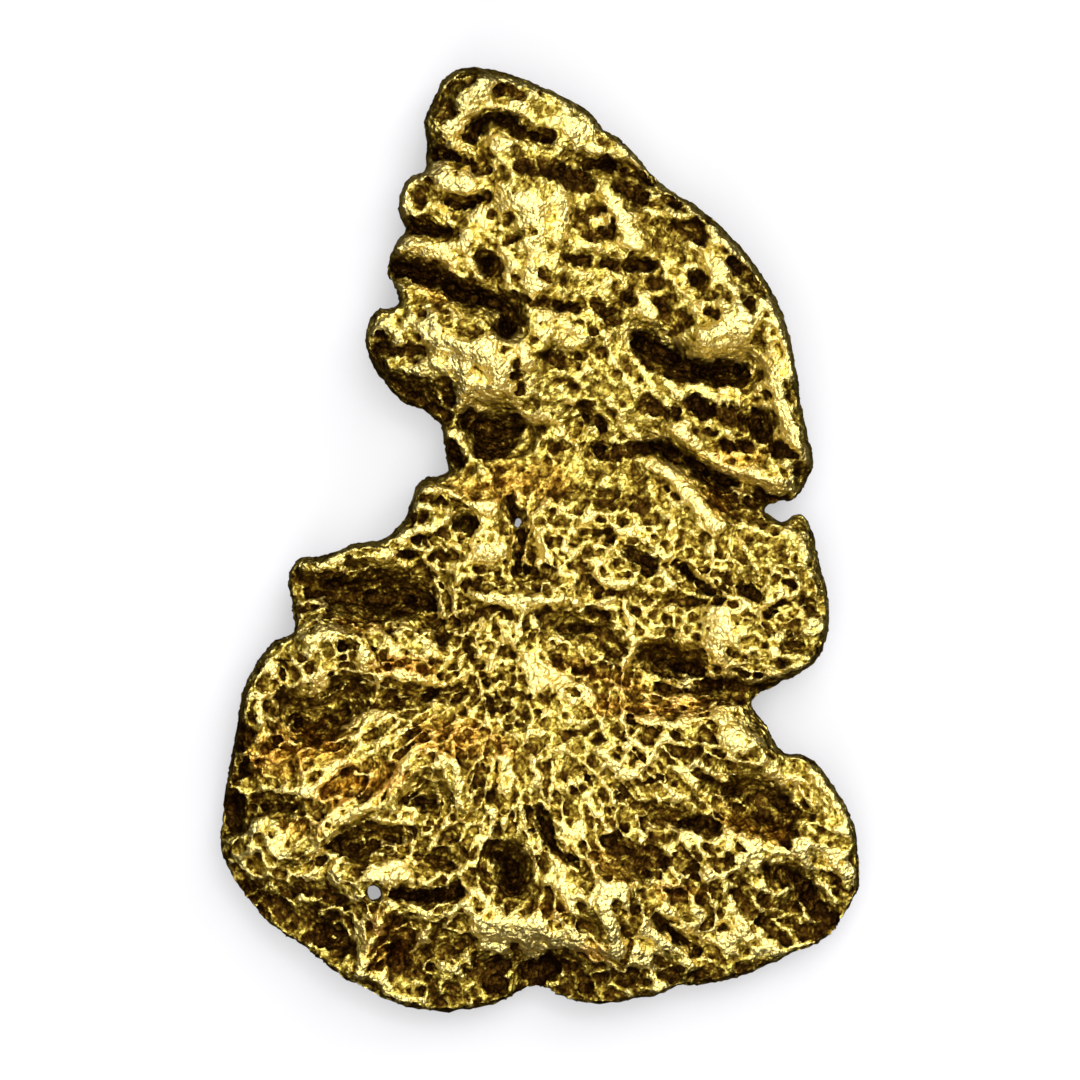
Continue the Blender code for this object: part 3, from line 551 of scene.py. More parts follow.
FOOT_BROW = [
    (7, 1.6, (320, 629), (335, 628), (345, 635), (358, 640), (364, 648), (362, 661)),
    (7, 1.2, (303, 636), (318, 640), (331, 632)),
    (7, 1, (300, 651), (311, 656)),
    (6, 1, (325, 648), (336, 651)),
    (7, 1.3, (301, 670), (303, 685), (300, 692)),
    (8, 1.3, (320, 668), (325, 680), (315, 690), (318, 701)),
    (4, 1.2, (338, 673), (350, 668), (360, 659)),
    (5, 1, (364, 670), (373, 676)),
    (7, 1.5, (378, 675), (390, 672), (410, 673), (425, 680), (440, 683), (455, 680), (463, 675)),
    (9, 0.9, (425, 684)),
    (4, 1.5, (383, 678), (378, 688), (378, 698), (388, 690), (396, 683)),
    (5, 0.9, (390, 656), (395, 648), (385, 640), (378, 626)),
    (4, 1.2, (402, 624), (400, 640), (402, 656)),
    (5, 1.2, (415, 621), (415, 633)),
    (8, 1.2, (425, 638), (428, 652)),
    (5, 1.1, (440, 652), (435, 643)),
    (5, 1, (450, 631), (462, 632), (466, 642)),
    (4, 0.8, (368, 654), (378, 662)),
    (5, -1.3, (388, 631), (393, 635)),
    (7, -1.3, (443, 624), (440, 637)),
    (6, -1.4, (344, 645), (356, 643)),
    (4, -1.6, (372, 642), (378, 655), (382, 661)),
    (3, -1, (345, 655), (342, 663)),
    (9, -1.9, (333, 686), (345, 679), (356, 681), (350, 691), (362, 691)),
    (3, -1, (300, 644), (298, 657)),
    (11, -1.4, (288, 698), (300, 706), (322, 711)),
    (4, -1.9, (430, 692), (450, 690), (467, 692)),
    (4, -1.2, (402, 686), (416, 690), (400, 696)),
    (6, -1, (388, 700), (402, 705)),
    (8, -0.5, (285, 650), (283, 675), (282, 700)),
    (6, -0.9, (300, 645), (302, 658)),
    (6, -1.2, (385, 690), (420, 688)),
    (10, -1.6, (290, 700), (315, 705), (340, 700)),
    (12, -1.6, (300, 720), (325, 722), (340, 715)),
    (9, -1.4, (315, 738)),
    (6, -1.2, (350, 703), (380, 706), (410, 708)),
    (8, -1, (278, 690), (285, 705)),
    (5, -1.3, (345, 772), (365, 768)),
]
MIDDLE_KNOT = [
    (8, 1.4, (480, 506), (494, 505), (496, 515), (484, 522)),
    (6, 1.8, (410, 500), (420, 490), (430, 487), (445, 490), (455, 495), (465, 505), (475, 508),
     (492, 512)),
    (5, 1.1, (423, 505), (433, 510)),
    (8, 1.3, (450, 510), (455, 516), (447, 523)),
    (5, 1, (413, 512), (417, 507)),
    (5, -1.8, (419, 496), (435, 500), (445, 503), (459, 503)),
    (6, -1.7, (413, 519), (429, 514)),
    (8, -2, (458, 521), (466, 521), (476, 526)),
    (4, -1.3, (484, 522), (496, 519)),
    (6, 1.4, (485, 530), (495, 532), (503, 540), (505, 548), (494, 551)),
    (8, 1.3, (478, 534), (472, 545), (475, 558), (485, 565), (496, 560), (504, 554)),
    (4, -1.3, (490, 543)),
    (3, 1.3, (516, 549), (513, 560), (512, 577)),
    (3, 1.5, (526, 549), (522, 560), (523, 577)),
    (7, 1.4, (532, 527), (538, 535), (543, 546), (547, 560), (539, 566)),
    (5, 1.1, (535, 514), (529, 523)),
    (5, 1, (546, 504), (551, 499)),
    (4, 1.2, (561, 507), (571, 513)),
    (5, 1.1, (578, 515)),
    (6, 1.1, (583, 522), (595, 515), (606, 511)),
    (5, 1, (570, 524), (576, 536)),
    (6, 0.9, (555, 530), (565, 540), (575, 552), (586, 556)),
    (5, 1.5, (560, 565), (567, 580), (575, 591), (580, 601), (584, 609)),
    (5, 1.2, (588, 538), (591, 546), (600, 547), (604, 539)),
    (5, 1.1, (608, 548), (605, 560)),
    (9, 1.4, (590, 563), (598, 575), (608, 582), (626, 584)),
    (6, 1.7, (470, 591), (482, 597), (495, 600), (510, 603), (525, 600), (541, 597)),
    (5, 1.1, (515, 589), (521, 594)),
    (5, 2, (540, 597), (530, 603), (524, 610), (521, 625), (516, 640), (513, 645)),
    (6, 1.5, (544, 602), (554, 606)),
    (5, 1.3, (564, 600), (577, 601)),
    (5, 1.8, (590, 607), (600, 603), (611, 600)),
    (3, 1, (465, 578), (476, 577)),
    (5, 1.1, (500, 587)),
    (6, 1.5, (483, 621), (490, 632), (495, 645), (493, 660), (490, 669)),
    (4, 1, (499, 620), (510, 625), (508, 636)),
    (4, 1, (467, 636), (476, 640), (480, 631)),
    (10, 1.2, (530, 655), (540, 665), (545, 680), (534, 691)),
    (6, 1.4, (545, 664), (560, 675), (575, 685), (592, 691)),
    (5, 1, (525, 671), (519, 660)),
    (6, 1.1, (560, 690), (572, 696)),
    (5, 1.3, (590, 659), (600, 662), (609, 660)),
    (4, 1.3, (614, 669), (622, 677), (626, 664)),
    (6, 1.6, (625, 610), (632, 625), (636, 640), (635, 650), (628, 660)),
    (4, 1.2, (620, 641), (632, 634)),
    (4, -2, (512, 500), (511, 510), (518, 525), (523, 540), (520, 556), (516, 573)),
    (4, -1.6, (532, 545), (536, 556)),
    (6, -2, (528, 570), (540, 572), (552, 572)),
    (4, -1.7, (468, 584), (480, 589), (497, 590)),
    (5, -1.6, (459, 589), (461, 603)),
    (4, -1.3, (500, 574), (506, 586)),
    (3, -2, (584, 532), (600, 531), (613, 530)),
    (3, -1.4, (600, 517), (607, 519)),
    (5, -1.3, (580, 561), (582, 575), (590, 580), (598, 586)),
    (4, -1.1, (552, 511), (550, 521)),
    (4, -1.5, (488, 606), (505, 613), (517, 618)),
    (5, -1.6, (545, 614), (550, 622), (545, 634)),
    (6, -2, (590, 614), (606, 615), (600, 623)),
    (5, -1.7, (563, 628), (580, 628), (600, 630), (617, 641)),
    (3, -1.5, (569, 637), (592, 641)),
    (4, -1.2, (600, 641), (611, 651)),
    (3, -1.3, (535, 610)),
    (3, -1.3, (564, 609), (573, 619)),
    (3, -1.2, (494, 628), (500, 633)),
    (3, -1.9, (467, 639), (467, 655), (476, 661)),
    (4, -1.1, (476, 645), (487, 645)),
    (4, -1.2, (480, 669), (486, 681)),
    (4, -1.2, (495, 680), (507, 671)),
    (3, -1.2, (510, 654), (516, 661)),
    (5, -1.4, (553, 655), (575, 668), (597, 676)),
    (5, -1.1, (588, 668), (607, 676)),
    (5, -1.9, (498, 692), (515, 692), (527, 698)),
    (3, -1.3, (475, 694), (474, 702)),
    (3, -1.5, (620, 644), (626, 653)),
    (4, 1.3, (437, 560), (438, 590), (440, 615)),
    (4, 1.3, (458, 555), (458, 590), (455, 615), (462, 620)),
    (5, -1.2, (428, 575), (430, 600)),
    (6, -1, (466, 590), (480, 600)),
    (5, 1.5, (470, 592), (490, 598), (510, 602), (540, 604), (560, 598)),
    (5, -1.2, (465, 586), (500, 588)),
    (5, -1, (480, 612), (510, 612)),
    (9, 1.2, (480, 552), (495, 545), (505, 552)),
    (7, 1.3, (538, 530), (545, 550), (550, 570)),
    (5, -1.3, (530, 550), (533, 570)),
    (7, -1.3, (535, 575), (550, 572)),
    (7, -1.2, (435, 625), (445, 638)),
    (5, -1.3, (465, 645), (470, 655)),
    (14, -0.9, (548, 615), (575, 625), (600, 640), (615, 650)),
    (9, -1.2, (590, 612), (602, 622)),
    (6, 1.3, (622, 600), (632, 625), (630, 650), (622, 668)),
    (8, -1.3, (425, 620), (450, 625), (470, 618)),
    (6, -1.3, (468, 640), (468, 655), (475, 668)),
    (6, -1.4, (498, 695), (515, 690), (530, 697), (550, 698)),
    (7, -1.4, (490, 706), (510, 708), (525, 712)),
    (11, 1.1, (530, 665), (545, 675), (560, 690)),
    (8, 1, (560, 675), (580, 690), (590, 700)),
    (9, -0.8, (565, 655), (590, 668), (615, 672)),
    (5, 1.3, (482, 680), (484, 700), (488, 722)),
]
FOOT_LEFT_RIM = [
    (3, 1.2, (250, 684), (245, 700), (240, 713)),
    (5, 1.5, (258, 689), (262, 700), (263, 719)),
    (6, 0.9, (271, 679), (276, 692)),
    (6, 1.1, (287, 727), (290, 736), (279, 746), (275, 751)),
    (3, 1.3, (239, 752), (251, 755)),
    (3, 1.4, (239, 780), (256, 783)),
    (4, 1, (240, 790), (246, 791)),
    (8, -1.5, (243, 727), (250, 736), (239, 746)),
    (6, -1.7, (245, 758), (245, 770), (251, 776)),
    (9, -1.6, (224, 800), (232, 810), (240, 800), (234, 827)),
    (8, 1.3, (275, 775), (285, 781), (281, 790), (300, 791), (316, 790), (321, 779)),
    (6, 1.5, (325, 775), (335, 765), (345, 762), (355, 755), (366, 750)),
    (5, 1.2, (344, 750), (343, 740), (351, 729)),
    (5, 1, (375, 745), (385, 740), (396, 742)),
    (5, -1.8, (270, 801), (280, 800), (292, 797)),
    (5, -1.4, (267, 808), (300, 806), (312, 804)),
    (8, -1.5, (310, 730), (325, 735), (337, 728)),
    (6, -1.1, (315, 746), (304, 740)),
    (4, -1.7, (350, 770), (360, 765), (344, 776)),
    (4, 0.9, (262, 800), (255, 812), (249, 826)),
    (5, 1.4, (265, 665), (252, 690), (245, 715)),
    (4, 1.4, (270, 680), (264, 705), (262, 718)),
    (9, -1.6, (225, 800), (240, 812)),
    (8, -1.3, (255, 800), (280, 800), (300, 810)),
    (3, 1.3, (222, 782), (245, 778)),
    (3, 1.2, (240, 750), (248, 760)),
]
FOOT_LOOPS = [
    (5, 1.6, (325, 836), (325, 820), (335, 805), (350, 800), (357, 804), (345, 815), (332, 822)),
    (7, 1.9, (328, 836), (345, 825), (360, 813), (372, 805), (379, 800)),
    (5, 1.9, (380, 800), (380, 815), (388, 823), (400, 826)),
    (7, 1.5, (378, 795), (385, 785), (395, 780), (400, 770), (408, 758), (419, 747), (430, 746),
     (448, 757), (459, 771), (462, 802)),
    (6, 1.3, (412, 768), (434, 764), (446, 762)),
    (5, 1.3, (397, 811), (402, 821)),
    (4, 1.2, (408, 784), (413, 791)),
    (3, 1.2, (392, 789), (390, 801)),
    (4, -1.7, (386, 796), (388, 794)),
    (4, -1.7, (396, 788), (400, 798)),
    (5, -1.8, (406, 800), (416, 794)),
    (8, -1.3, (420, 780), (430, 790), (425, 804)),
    (7, -1.3, (442, 782), (448, 795), (445, 806)),
    (6, 1.6, (245, 838), (255, 830), (265, 822), (275, 822), (278, 833)),
    (5, 1, (283, 836), (280, 827)),
    (4, 1.1, (233, 842), (224, 849)),
    (6, 1.9, (265, 834), (267, 845), (272, 852), (280, 857), (288, 852), (295, 842), (305, 838),
     (319, 842)),
    (5, 1, (245, 856), (256, 850)),
    (6, 1, (243, 866), (251, 876)),
    (7, 1.3, (323, 850), (335, 860), (340, 870), (335, 881)),
    (6, 1.1, (300, 875), (316, 873)),
    (8, 0.9, (374, 866), (385, 860), (396, 871)),
    (6, 1.1, (404, 846), (413, 839)),
    (10, -2.2, (328, 845), (345, 841), (360, 832), (380, 830), (397, 832)),
    (8, -1.7, (345, 851), (360, 851), (377, 845)),
    (4, -1.3, (246, 847), (240, 855), (246, 858)),
    (3, -1.3, (270, 832), (278, 839)),
    (7, -1.2, (302, 855), (295, 865), (280, 870)),
    (8, -1.2, (400, 800), (430, 800)),
    (6, -0.8, (500, 742), (515, 748), (528, 748)),
    (7, 1.2, (505, 760), (503, 785), (510, 795)),
    (8, 1, (535, 760), (538, 780)),
    (5, -1, (482, 765), (478, 780)),
    (4, 1.3, (492, 755), (488, 775), (475, 795)),
]
FOOT_CENTRE = [
    (4, 1.7, (482, 680), (485, 700), (487, 727)),
    (4, 1.8, (491, 788), (494, 766), (498, 757), (509, 759), (503, 773), (498, 797)),
    (4, 1.5, (471, 795), (487, 785)),
    (4, 1.9, (519, 800), (526, 823), (535, 841), (551, 856)),
    (5, 1.5, (532, 765), (537, 788)),
    (4, 1.6, (523, 803), (551, 801), (566, 819), (569, 833)),
    (5, -1.9, (528, 809), (546, 823), (551, 841), (567, 860)),
    (4, 1.6, (557, 831), (567, 850), (584, 861)),
    (6, -1.9, (539, 858), (543, 866)),
    (5, 1.1, (503, 839)),
    (7, 1.4, (548, 879)),
    (5, 1.4, (590, 856), (596, 876), (600, 904)),
    (11, 1.2, (604, 887), (621, 891)),
    (10, -2, (608, 842), (628, 858), (646, 874)),
    (4, 1.9, (623, 713), (628, 737), (639, 746), (661, 748)),
    (5, 1.7, (616, 795), (617, 823), (614, 834)),
    (15, -1.9, (497, 850), (518, 860), (512, 880)),
    (5, 1.5, (530, 862), (534, 876), (541, 882)),
    (7, 1.3, (560, 866), (563, 880), (570, 895), (575, 910)),
    (9, 1.4, (536, 915), (548, 930), (564, 924), (556, 916)),
    (8, 1.2, (545, 938), (555, 942)),
    (11, 1.3, (498, 915), (514, 920), (523, 935), (530, 950)),
    (11, 1.1, (490, 925), (500, 932), (510, 935)),
    (8, 1.3, (468, 900), (474, 915), (482, 930), (494, 937)),
    (10, 0.9, (515, 915), (530, 922)),
    (9, 1.3, (562, 885), (568, 900), (575, 912)),
    (10, 1.6, (580, 895), (598, 905), (610, 918), (616, 938), (618, 957)),
    (7, -1.8, (625, 928), (632, 936), (634, 925)),
    (6, -1.5, (636, 907), (636, 912)),
    (5, 0.8, (620, 897), (600, 890)),
    (5, 1.4, (625, 705), (625, 725), (632, 740), (645, 748)),
    (5, 1.3, (625, 712), (650, 720), (680, 722)),
    (4, -1.2, (555, 730), (570, 732), (590, 730)),
    (6, -1.2, (570, 760), (585, 775), (600, 790)),
    (4, 1.3, (575, 755), (592, 770), (610, 780)),
    (4, 1.3, (555, 770), (565, 790), (580, 800)),
    (9, 1.2, (605, 765), (625, 775), (640, 765)),
    (5, -1.3, (530, 808)),
    (9, -1.5, (545, 812), (548, 830), (550, 840)),
    (5, 1.3, (522, 805), (526, 830), (532, 850)),
    (6, -1.1, (502, 812)),
]
FOOT_LOWER_LIP = [
    (4, 1.5, (445, 897), (430, 914), (405, 900)),
    (8, -1.8, (395, 892), (425, 895), (455, 893)),
    (6, 1.7, (432, 914), (450, 911), (467, 896), (475, 915), (486, 933)),
    (6, 1.7, (385, 908), (376, 925), (372, 940), (362, 957), (360, 970)),
    (8, 1.2, (385, 900), (393, 905)),
    (8, 1, (362, 965), (358, 974)),
    (7, 1.3, (430, 930), (422, 938)),
    (7, 1.5, (440, 965), (455, 968), (461, 975)),
    (7, 1.4, (385, 980), (398, 998), (425, 1000)),
    (7, 1.1, (373, 978), (385, 975)),
    (5, 1, (418, 985), (414, 995)),
    (7, 1.1, (470, 1003)),
    (6, 1.1, (310, 945)),
    (5, 1.2, (322, 913), (335, 906), (345, 912)),
    (4, 1, (345, 912), (358, 922)),
    (8, 1.3, (330, 870), (345, 890), (352, 900)),
    (6, 1.1, (355, 884), (363, 897)),
    (7, 1.1, (365, 876), (378, 870), (390, 863)),
    (11, 1.2, (384, 885), (395, 878), (400, 868)),
    (6, 1, (420, 877), (424, 883)),
    (5, 1.1, (432, 878)),
    (6, 1.3, (448, 877), (453, 880)),
    (8, 1.1, (466, 868), (474, 860)),
    (8, 1.1, (476, 888), (484, 896)),
    (10, -1.8, (300, 888), (325, 888), (340, 895)),
    (13, -1.4, (325, 935), (345, 945)),
    (14, -1.3, (395, 925), (405, 940), (400, 960)),
    (11, -1.5, (430, 950), (455, 948), (470, 940)),
    (7, -1.6, (455, 880), (462, 892)),
    (13, -1.2, (480, 975), (500, 965), (495, 985)),
    (11, -1.3, (538, 975), (550, 965), (575, 958)),
    (9, -1.6, (362, 862), (355, 850), (358, 870)),
    (8, -1.3, (420, 860), (440, 862), (452, 868)),
    (7, 1.1, (502, 948), (505, 954)),
    (7, 1.2, (525, 945), (535, 955)),
    (9, 1.2, (572, 940), (590, 950), (603, 955)),
    (10, -1.5, (585, 925), (598, 932)),
    (24, 0.5, (485, 930), (530, 936), (575, 940)),
    (20, 0.4, (610, 945), (650, 955)),
]
FOOT_RIGHT = [
    (4, 1.3, (620, 717), (622, 730), (632, 740)),
    (8, 1.5, (640, 718), (660, 722), (690, 722), (700, 722)),
    (6, 1.4, (660, 735), (655, 752), (650, 765)),
    (5, 0.9, (665, 730), (668, 745)),
    (5, 1.1, (688, 712), (702, 709)),
    (6, 0.8, (705, 728), (710, 745)),
    (13, 1, (717, 712), (735, 708), (745, 722), (730, 735), (742, 748)),
    (8, 1, (757, 738), (750, 750)),
    (7, 1.2, (735, 762)),
    (5, 1.2, (720, 748), (735, 760)),
    (4, 1.4, (764, 755), (772, 750), (790, 762), (798, 775)),
    (9, 1.2, (618, 765), (600, 752), (610, 745)),
    (6, 1.1, (630, 752), (615, 775), (645, 772)),
    (5, 1.1, (655, 775), (668, 768), (676, 772)),
    (6, 1.3, (666, 790), (650, 795), (640, 800)),
    (6, 1.2, (640, 810), (630, 822)),
    (5, 1.5, (655, 805), (670, 795), (690, 800), (705, 815), (715, 820)),
    (6, 1.2, (725, 790), (720, 808)),
    (6, 1.1, (705, 795), (722, 795)),
    (7, 1.1, (710, 770), (725, 778), (735, 772)),
    (9, 1.3, (765, 762), (775, 778), (790, 790), (798, 805)),
    (10, 1.3, (812, 770), (825, 785), (838, 805)),
    (5, 1.3, (800, 820), (815, 830), (830, 838)),
    (6, 1.3, (824, 812), (835, 825), (848, 832), (850, 822)),
    (6, -1.8, (655, 730), (647, 728)),
    (4, -1.1, (634, 726), (630, 732)),
    (6, -1.3, (705, 733), (697, 745), (690, 755)),
    (6, -1.6, (680, 755), (700, 752), (710, 758)),
    (5, -1.2, (690, 768), (700, 772)),
    (4, -1.6, (736, 713)),
    (4, -1.3, (738, 757)),
    (7, -1.8, (732, 765), (745, 770), (755, 775)),
    (4, -1.5, (668, 784), (676, 785)),
    (5, -1.8, (636, 783), (650, 781), (658, 778)),
    (6, -1.9, (702, 778), (718, 784), (727, 788)),
    (12, -2.2, (730, 790), (750, 785), (770, 790), (780, 800), (790, 812)),
    (12, -1.8, (760, 812), (775, 820), (788, 838)),
    (11, -0.9, (725, 815), (750, 820), (770, 832)),
    (9, -1.9, (660, 815), (680, 820), (700, 825), (715, 828)),
    (7, -1, (640, 805), (655, 812)),
    (7, -1.4, (805, 805), (812, 815)),
    (6, -1.3, (818, 778), (826, 786)),
    (4, -1.5, (830, 818), (840, 828)),
    (5, -1.6, (768, 752), (776, 760)),
    (5, -1.2, (690, 838), (695, 845)),
    (5, -1.6, (612, 810)),
    (14, 1.2, (725, 715), (722, 735), (730, 748)),
    (6, -0.8, (752, 712), (762, 728), (770, 745)),
    (14, -1.7, (740, 785), (760, 795), (780, 800)),
    (14, -1.1, (740, 815), (765, 820), (785, 830)),
    (7, -1.3, (800, 810)),
    (9, -1.3, (650, 805), (675, 812), (705, 822)),
    (6, -1.2, (705, 778), (722, 785)),
    (5, 1.2, (770, 760), (790, 775), (805, 795), (815, 815)),
    (5, 1.1, (800, 765), (820, 785), (832, 805)),
    (5, -1.1, (815, 778)),
    (14, 0.7, (800, 845), (830, 860), (845, 875)),
]
FOOT_LOWER_RIGHT = [
    (8, 1.4, (676, 828), (690, 840), (700, 838)),
    (7, 1, (665, 843), (672, 850)),
    (7, 1.5, (700, 848), (708, 860), (710, 874)),
    (9, 1.4, (715, 845), (725, 828), (732, 845)),
    (9, 1.3, (745, 840), (752, 850), (740, 862)),
    (8, 1, (735, 870), (742, 858)),
    (7, 1.2, (770, 845), (780, 858), (790, 862)),
    (8, 1.5, (795, 840), (803, 855), (808, 868)),
    (13, 0.9, (825, 845), (840, 865), (848, 880)),
    (6, 1.3, (815, 870), (825, 890), (835, 900)),
    (6, 0.9, (660, 835), (650, 825), (645, 840)),
    (7, 1.2, (648, 855), (655, 868)),
    (6, 1.4, (648, 880), (650, 886)),
    (6, 1.5, (640, 895), (645, 910), (650, 915)),
    (7, 1.1, (660, 883), (675, 884)),
    (4, 1.2, (700, 885), (690, 878)),
    (5, 1.2, (655, 895), (668, 910), (680, 930)),
    (7, 1.2, (690, 908), (705, 912)),
    (6, 1.3, (715, 900), (725, 908)),
    (6, 1.4, (735, 910), (745, 912)),
    (5, 1, (758, 905), (765, 912)),
    (5, 0.9, (765, 885), (775, 898)),
    (5, 1.2, (800, 905), (808, 918)),
    (9, 1, (690, 925), (710, 938), (730, 945)),
    (11, 1, (740, 930), (755, 945), (770, 950)),
    (6, 1, (770, 940), (785, 955)),
    (8, 1.7, (645, 932), (665, 942), (685, 948), (695, 965)),
    (8, 1.4, (640, 950), (648, 965), (655, 985), (668, 990)),
    (7, 1, (628, 990)),
    (8, -2, (650, 912), (660, 925), (675, 938), (695, 950)),
    (9, -1.8, (735, 878), (745, 885), (742, 897)),
    (7, -1.3, (740, 908), (748, 918)),
    (6, -1.5, (705, 885), (715, 890), (720, 900)),
    (6, -1.5, (720, 850), (732, 862)),
    (9, -1.6, (765, 872), (785, 882)),
    (11, -1.9, (788, 870), (800, 882), (812, 900), (818, 912)),
    (8, -1.6, (760, 920), (775, 928), (785, 940)),
    (10, -1.4, (830, 920), (822, 932), (800, 932)),
    (8, -1.2, (660, 960), (680, 970)),
    (6, -0.9, (760, 895), (770, 905)),
    (4, -1.5, (825, 872), (838, 880)),
    (8, -1.6, (640, 860), (660, 870)),
    (7, -1.3, (690, 862), (700, 872), (685, 870)),
    (5, -1.2, (680, 845), (690, 855)),
    (6, -1, (665, 890), (680, 895)),
    (6, -1.1, (630, 970), (640, 980)),
    (10, -1.4, (612, 838), (635, 850), (660, 860)),
    (7, 1.2, (665, 830), (680, 845)),
    (6, 1.3, (690, 860), (705, 875)),
    (7, 1.1, (730, 840), (738, 858)),
    (9, -1.3, (605, 868), (630, 875)),
    (6, -1.2, (712, 858), (728, 862)),
    (12, 0.6, (640, 925), (690, 950)),
    (12, 0.6, (700, 915), (740, 935), (770, 945)),
]
REGIONS = [TIP, CROWN_LEFT_LOBES, CROWN_MIDDLE, CROWN_RIGHT_SIDE, MIDDLE_RIGHT, MIDDLE_SHELF,
           FOOT_BROW, MIDDLE_KNOT, FOOT_LEFT_RIM, FOOT_LOOPS, FOOT_CENTRE, FOOT_LOWER_LIP,
           FOOT_RIGHT, FOOT_LOWER_RIGHT]
print("strokes:", sum(len(region) for region in REGIONS))

# %% [markdown]
# Modifiers can't follow several hundred hand-drawn paths, so the strokes move points by code.
# A stroke lifts each point by a smooth bump that falls to nothing at its reach. Its height
# follows its reach, since wide forms on worn metal are also the tall ones. Dug strokes get
# steeper walls than raised ones, and fine raised strokes are widened a little, so that the
# coarse mesh doesn't lose them. Noise bends the paths, because nothing on a natural lump runs
# straight. Each row of BENDS is a noise: how far it bends a path, and its size.

# %% Draw the strokes
STEEPNESS = 0.55
BENDS = [(0.08, 0.36), (0.05, 0.13)]
DUG_SHEERNESS = 3
FINE_REACH = 12
FINE_WIDENING = 1.15
MOST_CREST = 1.5
MOST_DUG = 2


def in_mm(reach, strength, *path):
    """Turn a row of the grid into its path and reach, to a hundredth of a mm, and its strength."""
    path = [(round((x - GRID_ORIGIN) / GRID_PER_MM, 2), round((GRID_ORIGIN - y) / GRID_PER_MM, 2))
            for x, y in path]
    return path, round(reach / GRID_PER_MM, 2), strength


def noise_at(points, size, seed):
    """Give smooth noise between about -1 and 1 at each point. Each seed is another noise."""
    shift = mathutils.Vector((seed * 7.1, seed * 3.7, seed * 5.3))
    return np.array([mathutils.noise.noise(mathutils.Vector(p) / size + shift) for p in points])


def distance_to_path(xy, path):
    """Give each point's distance to a path, seen from above."""
    if len(path) == 1:
        path = [path[0], path[0]]
    nearest = np.full(len(xy), np.inf)
    for start, end in zip(path, path[1:]):
        start = np.array(start)
        along = np.array(end) - start
        length = max(float(along @ along), WELD)
        part = np.clip((xy - start) @ along / length, 0, 1)
        gap = np.hypot(*(xy - start - part[:, None] * along).T)
        nearest = np.minimum(nearest, gap)
    return nearest


def draw_strokes(points, regions):
    """Give each point's lift by all strokes, and how far it is into a dug one or up a raised one."""
    xy = points[:, :2].copy()
    for bend, size in BENDS:
        xy[:, 0] += bend * noise_at(points, size, 1)
        xy[:, 1] += bend * noise_at(points, size, 2)
    lift = np.zeros(len(points))
    dug = np.zeros(len(points))
    crest = np.zeros(len(points))
    for reach, strength, *path in [row for region in regions for row in region]:
        if strength > 0 and reach < FINE_REACH:
            reach *= FINE_WIDENING
        path, reach, strength = in_mm(reach, strength, *path)
        low = np.min(path, axis=0) - reach
        high = np.max(path, axis=0) + reach
        near = np.flatnonzero(np.all((xy > low) & (xy < high), axis=1))
        share = np.clip(distance_to_path(xy[near], path) / reach, 0, 1)
        if strength > 0:
            bump = (1 - share ** 2) ** 2
            crest[near] = np.maximum(crest[near], bump * min(strength, MOST_CREST))
        else:
            bump = (1 - share ** DUG_SHEERNESS) ** 2
            dug[near] = np.maximum(dug[near], bump * min(-strength, MOST_DUG))
        lift[near] += strength * STEEPNESS * reach * bump
    return lift, dug, crest


lift, dug, crest = draw_strokes(points, REGIONS)
print("lift from", round(lift.min(), 2), "to", round(lift.max(), 2), "mm")
